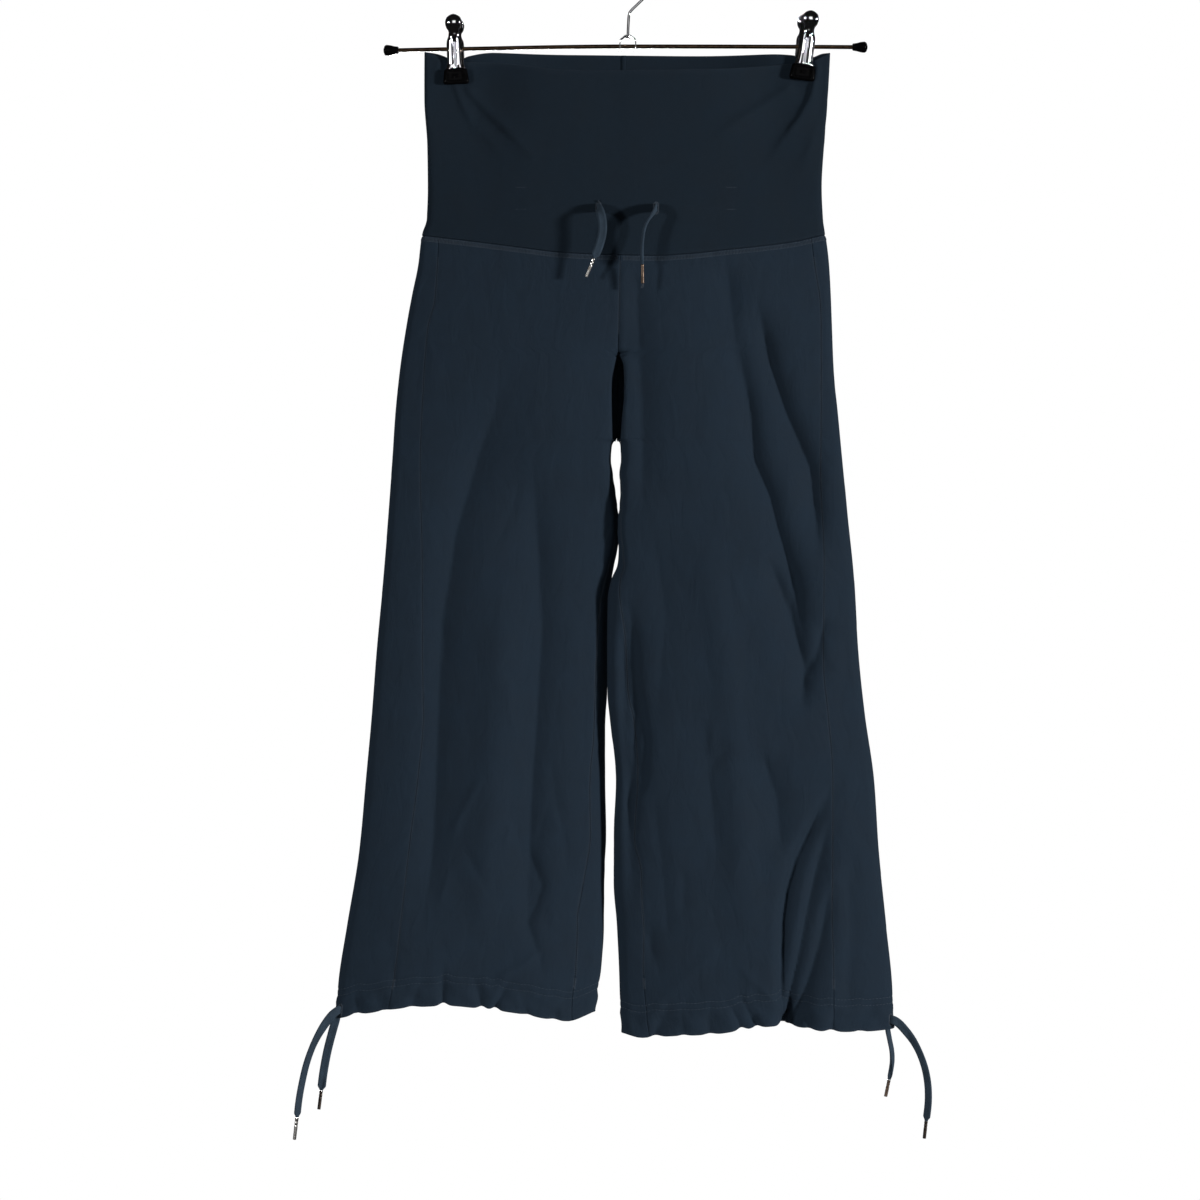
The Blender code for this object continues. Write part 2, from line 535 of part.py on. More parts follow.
def cut_slot(name):
    """A slot for a drawcord, as a live Boolean on its panel."""
    place, normal = slot_place(name)
    piece = SLOTS[name][4]
    across = Vector((0, 0, 1)).cross(normal).normalized()
    upward = normal.cross(across)
    shape = bmesh.new()
    bmesh.ops.create_cube(shape, size=1.0)
    for vertex in shape.verts:
        depth = vertex.co.y * CUT_DEPTH - CUT_BACK
        vertex.co = (place + normal * depth + across * vertex.co.x * SLOT_WIDTH
                     + upward * vertex.co.z * SLOT_HEIGHT) * MM
    cutter = new_object("cut_" + name, closed_mesh("cut_" + name, shape), NAVY)
    cutter.hide_render = True
    cutter.display_type = "WIRE"
    cut = piece.modifiers.new(name, "BOOLEAN")
    cut.object = cutter
    cut.operation = "DIFFERENCE"


for slot_name in SLOTS:
    cut_slot(slot_name)


# ---- drawcords: the free ends of flat hollow braids, each crimped into a steel aglet ----
# Each has its slot, the ways its width lies at the slot and at its end, its route after the slot
# as (x, y, drop), and how long its aglet is.
CORDS = {
    "waist_cord_left": ("waist_left", (0, 0, 1), (1, 0, 0), 16.3, (
        (-24.9, -27.2, 225.4), (-23.9, -31.2, 228.6), (-22.6, -33.8, 233.6), (-21.8, -34.6, 239.8),
        (-22.4, -34.6, 248), (-25, -34.2, 257.4), (-29, -33.6, 267))),
    "waist_cord_right": ("waist_right", (0, 0, 1), (0.1, -1, 0), 15.5, (
        (21.7, -26.6, 225.2), (20.2, -30.8, 228.6), (16.9, -33.4, 233.8), (13.2, -34.4, 240.2), (11.2, -34.6, 249),
        (10.4, -34.4, 259.9), (10.6, -34, 271.9))),
    "hem_cord_left_outer": ("hem_left_front", (0, 0, 1), (-0.68, -0.73, 0), 18.5, (
        (-244.6, -12, 889.4), (-249.6, -12.8, 895.4), (-255.8, -12, 905), (-261.4, -10.4, 916),
        (-266.6, -8.4, 930), (-270.6, -6.6, 946), (-273.4, -5.2, 961), (-275.2, -4.4, 976))),
    "hem_cord_left_inner": ("hem_left_back", (0, 0, 1), (-1, 0.1, 0), 15.5, (
        (-242.4, 10.2, 888.8), (-243.9, 12.6, 895.4), (-247.2, 13.4, 907), (-251.3, 13, 923),
        (-254.6, 12, 941), (-256.4, 11, 956))),
    "hem_cord_right_outer": ("hem_right_front", (0, 0, 1), (0.72, -0.69, 0), 14.5, (
        (222.6, -8.4, 897.2), (228.4, -9, 903.2), (235, -8.4, 912), (240.8, -7, 923), (245.2, -5.6, 935.6),
        (247.7, -4.2, 949.4), (248.1, -3, 963.4), (246.5, -2, 979.4))),
    "hem_cord_right_inner": ("hem_right_back", (0, 0, 1), (0.5, 0.87, 0), 14.0, (
        (216.4, 10.4, 897), (215.8, 12.6, 904), (217.4, 12.9, 913.5), (219.2, 12.4, 923),
        (219.5, 11.8, 931.5), (218.3, 11.2, 940), (216.8, 10.6, 947))),
}
CORD_STEP = 5.0
CORD_START_BEHIND = 3.6     # the cord begins inside the casing, behind the outer face
CORD_STRAIGHT = 2.6         # and leaves it square to the cloth
TWIST_SHARE = 0.45          # the braid has turned to its end's way by this share of its length
CORD_END_NARROWING = 0.45
AGLET_SIDES = 10


def smooth_route(points, step):
    """Even steps along one smooth curve through the points."""
    points = np.asarray(points, float)
    chords = np.sqrt(np.linalg.norm(np.diff(points, axis=0), axis=1))
    knots = np.concatenate([[0.0], np.cumsum(chords)])
    slopes = np.gradient(points, knots, axis=0)
    fine = np.linspace(0.0, knots[-1], 600)
    row = np.clip(np.searchsorted(knots, fine) - 1, 0, len(knots) - 2)
    span = (knots[row + 1] - knots[row])[:, None]
    part = (fine - knots[row])[:, None] / span
    squared, cubed = part ** 2, part ** 3
    curve = ((2 * cubed - 3 * squared + 1) * points[row] + (cubed - 2 * squared + part) * span * slopes[row]
             + (3 * squared - 2 * cubed) * points[row + 1] + (cubed - squared) * span * slopes[row + 1])
    length = np.concatenate([[0.0], np.cumsum(np.linalg.norm(np.diff(curve, axis=0), axis=1))])
    at = np.linspace(0.0, length[-1], max(int(round(length[-1] / step)), 4) + 1)
    return np.stack([np.interp(at, length, curve[:, axis]) for axis in range(3)], axis=-1)


def cord_tilts(route, wide_start, wide_end):
    """Tilt of each point that turns the braid's width from one way to the other along the route."""
    ways = [Vector(b - a).normalized() for a, b in zip(route, route[1:])]
    headings = [ways[0]] + [(a + b).normalized() for a, b in zip(ways, ways[1:])] + [ways[-1]]
    side_way = (Vector((0, 0, 1)) - headings[0] * headings[0].z).normalized()
    tilts = []
    for index, heading in enumerate(headings):
        if index:
            side_way = headings[index - 1].rotation_difference(heading) @ side_way
        part = float(smooth(index / (len(headings) - 1) / TWIST_SHARE - 0.1))
        wanted = Vector(wide_start).lerp(Vector(wide_end), part)
        wanted = (wanted - heading * wanted.dot(heading)).normalized()
        angle = math.atan2(side_way.cross(wanted).dot(heading), side_way.dot(wanted))
        if tilts:
            while angle - tilts[-1] > math.pi / 2:
                angle -= math.pi
            while angle - tilts[-1] < -math.pi / 2:
                angle += math.pi
        tilts.append(angle)
    return tilts


def circle(shape, middle, across, upward, radius, sides):
    """A ring of vertices, or a single one where the radius is nothing."""
    if radius == 0:
        return [shape.verts.new(middle * MM)]
    turns = [2.0 * math.pi * index / sides for index in range(sides)]
    return [shape.verts.new((middle + (across * math.cos(turn) + upward * math.sin(turn)) * radius) * MM)
            for turn in turns]


def turned(name, start, heading, profile, sides, finish):
    """A closed turned solid along an axis, from (distance along, radius) rows."""
    heading = Vector(heading).normalized()
    across = heading.orthogonal().normalized()
    upward = heading.cross(across)
    shape = bmesh.new()
    rings = [circle(shape, Vector(start) + heading * along, across, upward, radius, sides)
             for along, radius in profile]
    for first, second in zip(rings, rings[1:]):
        for index in range(sides):
            after = (index + 1) % sides
            corners = [first[index % len(first)], first[after % len(first)], second[after % len(second)],
                       second[index % len(second)]]
            corners = list(dict.fromkeys(corners))
            shape.faces.new(corners)
    mesh = closed_mesh(name, shape)
    mesh.shade_smooth()
    mesh.set_sharp_from_angle(angle=math.radians(40))
    return new_object(name, mesh, finish)


def drawcord(name):
    slot, wide_start, wide_end, aglet_length, after = CORDS[name]
    place, normal = slot_place(slot)
    first = place - normal * CORD_START_BEHIND
    straight = place + normal * CORD_STRAIGHT
    hanging = [(x, y, -drop) for x, y, drop in after]
    route = smooth_route([tuple(first), tuple(place), tuple(straight), *hanging], CORD_STEP)
    tilts = cord_tilts(route, wide_start, wide_end)
    curve = bpy.data.curves.new(name, "CURVE")
    curve.dimensions = "3D"
    curve.twist_mode = "MINIMUM"
    curve.bevel_depth = CORD_THICKNESS / 2.0 * MM
    curve.extrude = (CORD_WIDTH - CORD_THICKNESS) / 2.0 * MM
    curve.bevel_resolution = 2
    curve.use_fill_caps = True
    spline = curve.splines.new("POLY")
    spline.points.add(len(route) - 1)
    for point, spot, tilt in zip(spline.points, route, tilts):
        point.co = (*(spot * MM), 1.0)
        point.tilt = tilt
    spline.points[-1].radius = CORD_END_NARROWING
    new_object(name, curve, CORD)
    heading = Vector(route[-1] - route[-2]).normalized()
    radius = AGLET_DIAMETER / 2.0
    profile = ((0, 0), (0, radius * 0.9), (0.8, radius), (aglet_length - 1.2, radius * 0.94),
               (aglet_length, radius * 0.6), (aglet_length, 0))
    start = Vector(route[-1]) + heading * SEAM_GAP
    turned(name + "_aglet", start, heading, profile, AGLET_SIDES, AGLET_STEEL)


for cord_name in CORDS:
    drawcord(cord_name)


# ---- hanger: a steel rod in two rubber tips, with a saddle and a wire hook at its middle ----
ROD_SIDES, ROD_STATIONS = 12, 9
TIP_PROFILE = (         # along and radius: the blind bore, its mouth, and the cup's outside
    (7.99, 0), (7.99, 2.0), (0, 2.0), (0, 2.9), (3.0, 3.3), (7.2, 4.3), (9.8, 4.55), (11.5, 3.7),
    (12.2, 1.9), (12.2, 0))


def rod_drop(x):
    return float(read(ROD, "x", "drop", x))


def rod():
    shape = bmesh.new()
    across, upward = Vector((0, 1, 0)), Vector((0, 0, 1))
    rings = []
    for x in np.linspace(ROD["x"][0], ROD["x"][-1], ROD_STATIONS):
        middle = Vector((x, 0.0, -rod_drop(x)))
        rings.append(circle(shape, middle, across, upward, ROD_DIAMETER / 2.0, ROD_SIDES))
    for first, second in zip(rings, rings[1:]):
        for index in range(ROD_SIDES):
            after = (index + 1) % ROD_SIDES
            shape.faces.new((first[index], first[after], second[after], second[index]))
    shape.faces.new(rings[0])
    shape.faces.new(rings[-1])
    mesh = closed_mesh("rod", shape)
    mesh.shade_smooth()
    mesh.set_sharp_from_angle(angle=math.radians(40))
    return new_object("rod", mesh, DARK_STEEL)


rod()
for tip_name, rod_end, inward in (("rod_tip_left", ROD["x"][0], 1), ("rod_tip_right", ROD["x"][-1], -1)):
    inner = rod_end + inward * TIP_SOCKET
    tip_start = Vector((inner, 0.0, -rod_drop(inner)))
    tip_heading = Vector((rod_end - inner, 0.0, rod_drop(inner) - rod_drop(rod_end)))
    turned(tip_name, tip_start, tip_heading, TIP_PROFILE, ROD_SIDES, RUBBER)


def strip_normals(points):
    """Normals to the left of a path in the XZ plane."""
    ways = np.gradient(points, axis=0)
    normals = np.stack([-ways[:, 2], np.zeros(len(points)), ways[:, 0]], axis=-1)
    return normals / np.linalg.norm(normals, axis=1, keepdims=True)


SADDLE_X = -1.0
SADDLE_HALF_SPAN = 6.9
SADDLE_DEPTH = 7.0
SADDLE_SHEET = 0.9
SADDLE_TOP_DROP = 78.6
SADDLE_FOOT_DROP = 90.7
STEM_CLEARANCE = 0.3
HOLE_SIDES = 16
HOOK_HEAD, HOOK_TIP = 1.7, 0.7      # the wire's radius at its peened head and its dressed tip, as shares


def saddle():
    """A bent strip: two legs on the rod, and a peaked bridge that the hook's stem turns in."""
    half = [(-SADDLE_HALF_SPAN, SADDLE_FOOT_DROP), (-SADDLE_HALF_SPAN, 87.5), (-SADDLE_HALF_SPAN, 83.6),
            (-6.1, 81.6), (-4.2, 80.2), (-2.0, SADDLE_TOP_DROP)]
    path = half + [(-across, drop) for across, drop in reversed(half)]
    points = np.array([(SADDLE_X + across, 0.0, -drop) for across, drop in path])
    normals = strip_normals(points)
    edges = (-SADDLE_DEPTH / 2.0, SADDLE_DEPTH / 2.0)
    rows = [(points + (0, edge, 0), normals, SADDLE_SHEET) for edge in edges]
    made = wall("saddle", rows, CHROME)
    holes = (
        ("rod_hole", (-14, 0, -rod_drop(0)), (1, 0, 0), 28.0, ROD_DIAMETER / 2 + SEAM_GAP),
        ("stem_hole", (SADDLE_X, 0, -84), (0, 0, 1), 8.0, HOOK_WIRE / 2 + STEM_CLEARANCE),
    )
    for name, start, heading, length, radius in holes:
        profile = ((0, 0), (0, radius), (length, radius), (length, 0))
        cutter = turned("cut_" + name, start, heading, profile, HOLE_SIDES, CHROME)
        cutter.hide_render = True
        cutter.display_type = "WIRE"
        cut = made.modifiers.new(name, "BOOLEAN")
        cut.object = cutter
        cut.operation = "DIFFERENCE"


def hook():
    """Spring wire: a peened head under the saddle, a stem, an angled run and a round crook."""
    centre_drop = HOOK_BEND_DROP - HOOK_RADIUS * math.sqrt(2.0)
    head_bottom, head_top = SADDLE_TOP_DROP + 2.6, SADDLE_TOP_DROP + 1.3
    stem = [(SADDLE_X, head_bottom), (SADDLE_X, head_top), (SADDLE_X, head_top - 0.1), (-0.5, 68.0),
            (-0.1, 61.6), (0.5, 59.6), (1.9, 58.1)]
    run = [(9.5, HOOK_BEND_DROP - 9.5)]
    sweep = [math.radians(angle) for angle in range(-45, 205, 14)]
    crook = [(HOOK_RADIUS * math.cos(angle), centre_drop - HOOK_RADIUS * math.sin(angle)) for angle in sweep]
    curve = bpy.data.curves.new("hook", "CURVE")
    curve.dimensions = "3D"
    curve.bevel_depth = HOOK_WIRE / 2.0 * MM
    curve.bevel_resolution = 2
    curve.use_fill_caps = True
    spline = curve.splines.new("POLY")
    route = stem + run + crook
    spline.points.add(len(route) - 1)
    for point, (x, drop) in zip(spline.points, route):
        point.co = (x * MM, 0.0, -drop * MM, 1.0)
    spline.points[0].radius = HOOK_HEAD
    spline.points[1].radius = HOOK_HEAD
    spline.points[-1].radius = HOOK_TIP
    new_object("hook", curve, CHROME)


saddle()
hook()


# ---- clips: two pressed-steel halves that clasp the rod, each with a rubber jaw pad ----
PAD_HEIGHT = 12.8
PAD_HALF_BOTTOM, PAD_HALF_TOP = 11.0, 9.4
CLIP_ROWS = (           # height above the jaw's bottom, half width, depth of the face, of the flange's edge
    (13.1, 8.3, 6.4, 3.2), (17.0, 7.2, 6.8, 2.6), (27.2, 6.7, 7.6, 2.02), (32.2, 6.7, 7.9, 2.02),
    (36.2, 6.4, 8.3, 3.0), (39.2, 5.1, 9.0, 5.0), (42.5, 4.6, 9.8, 7.0), (46.2, 5.9, 10.9, 8.4),
    (50.4, 6.8, 11.8, 9.2), (54.3, 5.6, 11.6, 9.4), (56.7, 2.6, 10.9, 9.2),
)
CLIP_COLUMNS = ((-1.0, 1.0), (-0.93, 0.16), (-0.5, 0.0), (0.0, 0.13), (0.5, 0.0), (0.93, 0.16), (1.0, 1.0))


def on_clip(clip, lean, layer, across, depth, height):
    """From a clip half's own across, depth and height to the garment's frame."""
    x = clip["x"] + across * math.cos(lean) + height * math.sin(lean)
    drop = clip["jaw_bottom"] - height * math.cos(lean) + across * math.sin(lean)
    return (x, layer * depth, -drop)


def clip_half(name, clip, lean, layer):
    grid = np.array([[on_clip(clip, lean, layer, part * half, face + (edge - face) * back, height)
                      for part, back in CLIP_COLUMNS] for height, half, face, edge in CLIP_ROWS])
    down = np.gradient(grid, axis=0)
    along = np.gradient(grid, axis=1)
    normals = np.cross(along, down) * -layer
    normals /= np.linalg.norm(normals, axis=2, keepdims=True)
    if np.mean(normals[:, len(CLIP_COLUMNS) // 2, 1]) * layer < 0:
        normals = -normals
    return wall(name, [(points, facings, SHEET) for points, facings in zip(grid, normals)], CHROME)


def clip_pad(name, clip, lean, layer):
    corners = ((-PAD_HALF_TOP, PAD_HEIGHT, 1.6), (PAD_HALF_TOP, PAD_HEIGHT, 1.6), (PAD_HALF_BOTTOM, 0.0, 3.0),
               (-PAD_HALF_BOTTOM, 0.0, 3.0))
    outline = []
    for index, (across, height, radius) in enumerate(corners):
        here = Vector((across, height))
        before = (Vector(corners[index - 1][:2]) - here).normalized()
        after = (Vector(corners[(index + 1) % 4][:2]) - here).normalized()
        for part in (0.0, 0.5, 1.0):
            outline.append(here + before * radius * (1 - part) ** 2 + after * radius * part ** 2)
    shape = bmesh.new()
    layers = []
    inner_face = PINCH_DEPTH + SEAM_GAP
    outer_face = inner_face + PAD_THICKNESS
    for depth, shrink in ((inner_face, 1.0), (outer_face - 1.2, 1.0), (outer_face, 0.88)):
        ring = []
        for corner in outline:
            across = corner.x * shrink
            height = PAD_HEIGHT / 2 + (corner.y - PAD_HEIGHT / 2) * shrink
            ring.append(shape.verts.new(Vector(on_clip(clip, lean, layer, across, depth, height)) * MM))
        layers.append(ring)
    for first, second in zip(layers, layers[1:]):
        for index in range(len(outline)):
            after = (index + 1) % len(outline)
            shape.faces.new((first[index], first[after], second[after], second[index]))
    shape.faces.new(layers[0])
    shape.faces.new(layers[-1])
    return new_object(name, closed_mesh(name, shape), RUBBER)


for clip_name, clip_sizes in CLIPS.items():
    for half_name, half_layer, half_lean in (("front", FRONT, "lean"), ("back", BACK, "rear_lean")):
        clip_half(f"clip_{clip_name}_{half_name}", clip_sizes, clip_sizes[half_lean], half_layer)
        clip_pad(f"clip_{clip_name}_pad_{half_name}", clip_sizes, clip_sizes[half_lean], half_layer)
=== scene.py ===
import math

import bmesh
import bpy
import numpy as np
from mathutils import Matrix, Vector


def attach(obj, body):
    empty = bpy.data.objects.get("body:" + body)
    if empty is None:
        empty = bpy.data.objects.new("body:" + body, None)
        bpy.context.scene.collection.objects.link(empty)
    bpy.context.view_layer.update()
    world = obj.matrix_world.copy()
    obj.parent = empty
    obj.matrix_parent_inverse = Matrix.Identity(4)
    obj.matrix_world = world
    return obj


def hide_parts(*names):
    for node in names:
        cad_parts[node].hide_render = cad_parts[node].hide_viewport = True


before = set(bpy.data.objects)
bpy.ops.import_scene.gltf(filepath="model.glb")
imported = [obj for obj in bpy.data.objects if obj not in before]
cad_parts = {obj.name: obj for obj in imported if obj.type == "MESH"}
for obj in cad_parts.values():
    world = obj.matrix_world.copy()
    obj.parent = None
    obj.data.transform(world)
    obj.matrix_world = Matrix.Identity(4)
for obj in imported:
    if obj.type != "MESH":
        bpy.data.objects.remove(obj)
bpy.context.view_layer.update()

MM = 0.001
LEFT, RIGHT = -1, 1
FRONT, BACK = -1, 1


# ---- camera ----
# A long lens set square on to the front of the garment, level with its middle.
CAMERA_PLACE = (-0.02407, -2.767, -0.5473)
camera_lens = bpy.data.cameras.new("camera")
camera_lens.lens, camera_lens.sensor_width = 100.0, 36.0
camera = bpy.data.objects.new("camera", camera_lens)
camera.location = CAMERA_PLACE
camera.rotation_euler = (math.radians(90.0), 0.0, 0.0)
bpy.context.scene.collection.objects.link(camera)
bpy.context.scene.camera = camera


# ---- the hang of the cloth ----
# Dense stretch knit, pinched flat in two clips, hanging as one flattened tube that divides into two
# wide legs. Sizes are in millimetres; `drop` is the distance below the rail that carries the hook.
SEAM_GAP = 0.3
CROTCH_DROP = 414.5
BAND_WALL, LEG_WALL, CASING_WALL = 1.6, 1.2, 2.0
PINCH_DEPTH = BAND_WALL + 0.2
OUTER_FOLD = {
    "drop": (94, 132, 170, 207, 232, 244, 269, 294, 319, 356, 394, 431, 481, 531, 589, 643, 697, 755,
             817, 867, 905),
    "left": (-170, -170, -167.5, -167, -168, -172, -175, -180, -184.5, -190, -194, -196.5, -200, -204,
             -209.5, -213.5, -218.5, -224, -234, -241.5, -244),
    "right": (167, 165, 162, 160, 161, 163, 166, 167.5, 168.5, 170, 173.5, 177, 182, 187, 190.5, 196,
              203.5, 207.5, 213.5, 218.5, 220),
}
INNER_FOLD = {
    "drop": (CROTCH_DROP, 417, 421, 431, 443.5, 456, 468.5, 481, 497.5, 506, 518, 531, 547, 589,
             625, 642, 655, 697, 742, 780, 817, 854, 879, 909),
    "left": (-10.4, -13.4, -14.5, -14.9, -13.3, -11.6, -10, -8.2, -8.4, -10, -12.3, -14.6, -17, -17.6,
             -18.2, -19.4, -19.9, -19.9, -19.1, -20.8, -20.8, -23.2, -27.4, -30),
    "right": (-10.4, -7.6, -7, -6.9, -8.2, -7, -7.6, -9.1, -9.2, -8.4, -9.6, -15, -17.8, -18.2, -18,
              -16.4, -14.9, -10.8, -12.5, -12.5, -10, -8.3, -7.5, -5.8),
    "left_lean": (0, 0, 0, 0.5, 2, 4, 5.5, 6, 6, 6, 6, 6, 6, 6, 6, 6, 6, 5.5, 4, 3, 2, 1, 0, 0),
    "right_lean": (0, 0, 0, -0.5, -2, -4, -5.5, -6, -6, -6, -6, -6, -6, -6, -6, -6, -5.5, -5, -4,
                   -3, -2, -1, 0, 0),
}
SECTION = {
    "drop": (94, 170, 245, 300, 360, 415, 445, 480, 550, 630, 720, 820, 909),
    "front": (8, 9, 11, 12, 9, 8, 9, 10, 12, 13, 14, 15, 14),
    "back": (9, 10, 13, 15, 15, 12, 12, 12, 13, 14, 15, 16, 15),
    "outer_width": (5, 5, 5, 6, 6, 7, 7, 7, 7, 7, 7, 7, 6),
    "outer_depth": (4, 4.5, 5, 5.5, 6, 6.5, 7, 7, 7, 7, 7, 7, 6),
    "inner_width": (6, 6, 6, 6, 6.5, 7, 7, 7, 12, 14, 12, 9, 7),
    "inner_depth": (5, 6, 8, 11, 15, 17, 13, 9, 10, 11, 10, 8, 6),
}
CENTRE = {"drop": (94, 245, 340, CROTCH_DROP), "x": (-4, -7, -9, -10.4)}
RISE = {
    "height": (0, 2, 6, 14, 24, 46, 62, 76, 100, 130, 165),
    "front": (0, 0, 0, 0.0002, 0.0006, 0.002, 0.012, 0.08, 0.35, 0.75, 1),
    "back": (0, 0.01, 0.03, 0.07, 0.16, 0.45, 0.62, 0.76, 0.9, 1, 1),
}
SIDE_SEAM = {
    "drop": (245, 277, 300, 322, 372, 437, 514, 601, 645, 696, 755, 806, 848, 895),
    "left": (-157.5, -159, -161, -166.5, -170.3, -172.8, -171.2, -170.8, -170.2, -174.5, -182, -187.7,
             -192.5, -199.5),
    "right": (150.5, 154.8, 158.3, 159, 159, 158.5, 161, 160.5, 164.5, 168, 168, 167.5, 168.5, 169),
}
INSEAM = {
    "drop": (CROTCH_DROP, 440, 500, 546, 580, 622, 650, 696, 744, 772, 810, 848, 909),
    "left": (0, 1, 3, 6, 9, 10, 9, 12.5, 13, 16, 22, 21, 17),
    "right": (0, 1, 3, 10, 15, 17, 20, 18, 17, 22.5, 22, 20, 22.5),
}
RIM = {
    "x": (-170, -161, -153, -144, -134, -112, -97, -54, -20, 29, 77, 118, 136, 145, 153, 161, 167),
    "front": (92.2, 95, 98.5, 103, 101, 102, 103.5, 109, 109.6, 109.1, 107.7, 104, 102.5, 102.5, 100,
              96, 93),
    "back": (92.2, 93.5, 96, 101.5, 96, 92.6, 92.5, 92.8, 93, 93.6, 94, 94, 95, 99, 96.5, 93.5, 93),
}
WAIST_SEAM = {
    "x": (-170, -129, -93, -54, -20, 21, 53, 78, 114, 138, 161),
    "front": (245.5, 250.8, 255.8, 260.7, 262.4, 263.2, 261.3, 258.3, 254.1, 250.4, 245),
    "back": (245.5, 248, 250, 251.5, 252, 252, 251.5, 250.5, 248.5, 247, 245),
}
HEM = {
    LEFT: {
        "x": (-244, -217, -190, -150, -117, -91, -50, -30),
        "front": (894.5, 889, 884.5, 882, 885, 888.5, 895.5, 889),
        "back": (894.5, 889, 885, 882.5, 884, 886, 888, 889),
    },
    RIGHT: {
        "x": (-5, 9, 35, 68, 100, 121, 141, 167, 194, 220),
        "front": (906.5, 909.5, 907.5, 905.7, 901, 899, 900.7, 904, 904, 902.5),
        "back": (906.5, 906, 903, 901, 899.5, 899, 900, 901, 902, 902.5),
    },
}
# The deep sharp-edged gap between the fronts of the legs, under the middle of the rise.
WEDGE = {
    "drop": (341, 347, 353, 366, 377, 395, 415),
    "left": (-8.9, -10.9, -12.5, -14.9, -15.2, -14.9, -14.4),
    "right": (-8.5, -6.1, -3.8, -3.1, -3.1, -4.8, -6.4),
}
WEDGE_WALL, WEDGE_SINK, WEDGE_TOP = 1.5, 0.94, 5.0
# One row for each fold: the layer, how far it sinks in (less than 0 stands out), how far it reaches
# left and right of its line, and the line as (x, drop), down the cloth. Where the two reaches
# differ the bottom is creased: one wall steep, the other broad.
FOLDS = (
    (FRONT, 9.0, 16, 21, ((-94, 345), (-125, 430), (-143, 491), (-155, 570), (-160, 706), (-163, 763),
                          (-174, 838))),
    (FRONT, 8.0, 17, 15, ((-80, 420), (-72, 570), (-76, 639), (-81, 715), (-85, 850))),
    (FRONT, -3.2, 15, 15, ((-104, 520), (-108, 640), (-118, 760), (-122, 840))),
    (FRONT, 9.5, 15, 8.5, ((103, 290), (110.7, 322.6), (117.3, 352.3), (130.5, 392), (150.4, 438.2),
                           (155, 481), (158, 520))),
    (FRONT, 9.5, 14, 8.5, ((90, 325), (95, 362), (100.8, 392), (104.1, 431.6), (117, 461.4),
                           (123, 486), (139, 540), (146, 590))),
    (FRONT, 4.6, 18, 10, ((80, 262), (86, 320), (92, 372))),
    (FRONT, 8.5, 13, 8, ((112, 505), (134, 560), (145, 602), (143, 645))),
    (FRONT, 4.0, 4, 7, ((163, 560), (155, 592), (144, 612))),
    (FRONT, 9.5, 3.4, 11, ((168, 692), (161.8, 712.5), (151.1, 733.2), (137, 762.1), (129.6, 786.9),
                           (126.3, 811.7), (125.5, 861.2), (126.3, 894.3), (127, 950))),
    (FRONT, 7.2, 3.6, 10, ((169, 722), (161, 746), (153.5, 774), (147, 804), (141, 836), (134, 868),
                           (129, 892), (127, 950))),
    (FRONT, 6.0, 5.0, 9.5, ((170, 776), (163, 800), (158, 826), (151, 852), (142, 880), (134, 905),
                            (130, 950))),
    (FRONT, 2.8, 6, 9, ((188, 748), (181, 782), (184, 822), (180, 862), (183, 905))),
    (FRONT, 5.0, 15, 11, ((108, 668), (122, 712), (126, 758))),
    (FRONT, -3.0, 15, 15, ((60, 470), (80, 600), (92, 740), (96, 850))),
    (FRONT, 6.0, 13, 6.5, ((-1, 535), (4, 585), (7, 640), (3, 690), (0, 742), (2, 810))),
    (FRONT, 8.0, 7, 4.5, ((-6, 556), (-4, 620), (-5, 660), (-1, 704), (-3, 752))),
    (FRONT, 3.0, 6, 3.4, ((6, 615), (15, 662), (11, 712))),
    (FRONT, 4.4, 14, 12, ((5, 262), (8, 330), (11, 400), (10, 480))),
    (FRONT, 1.4, 7, 6, ((-66, 672), (-61, 708), (-54, 746), (-50, 780))),
    (FRONT, 2.4, 6, 3.8, ((-86, 742), (-78, 766), (-71.5, 783), (-78, 802), (-84, 812), (-74, 840),
                          (-70, 862))),
    (FRONT, -1.5, 3.6, 3.6, ((-70, 834), (-82, 844.7), (-96, 853), (-111, 861))),
    (FRONT, -1.2, 4, 4, ((-120, 690), (-134, 716), (-148, 744))),
    (FRONT, 1.8, 12, 7, ((62, 640), (73, 770))),
    (FRONT, 1.5, 9, 6, ((20, 700), (34, 836))),
    (FRONT, 2.0, 14, 10, ((18, 480), (30, 560), (22, 660))),
    (BACK, 8.0, 14, 22, ((-100, 330), (-128, 450), (-150, 590), (-158, 720), (-170, 850))),
    (BACK, 7.0, 20, 12, ((-60, 480), (-72, 600), (-84, 740), (-92, 860))),
    (BACK, 8.5, 9, 15, ((96, 320), (118, 420), (140, 540), (148, 650))),
    (BACK, 9.0, 5, 13, ((70, 560), (82, 660), (96, 760), (104, 940))),
    (BACK, 5.5, 3.4, 10, ((98, 690), (112, 780), (118, 920))),
    (BACK, 3.0, 5, 10, ((124, 680), (134, 760), (128, 850))),
    (BACK, 2.0, 8, 12, ((-42, 540), (-32, 680))),
    (BACK, 2.0, 12, 8, ((36, 670), (26, 800))),
)
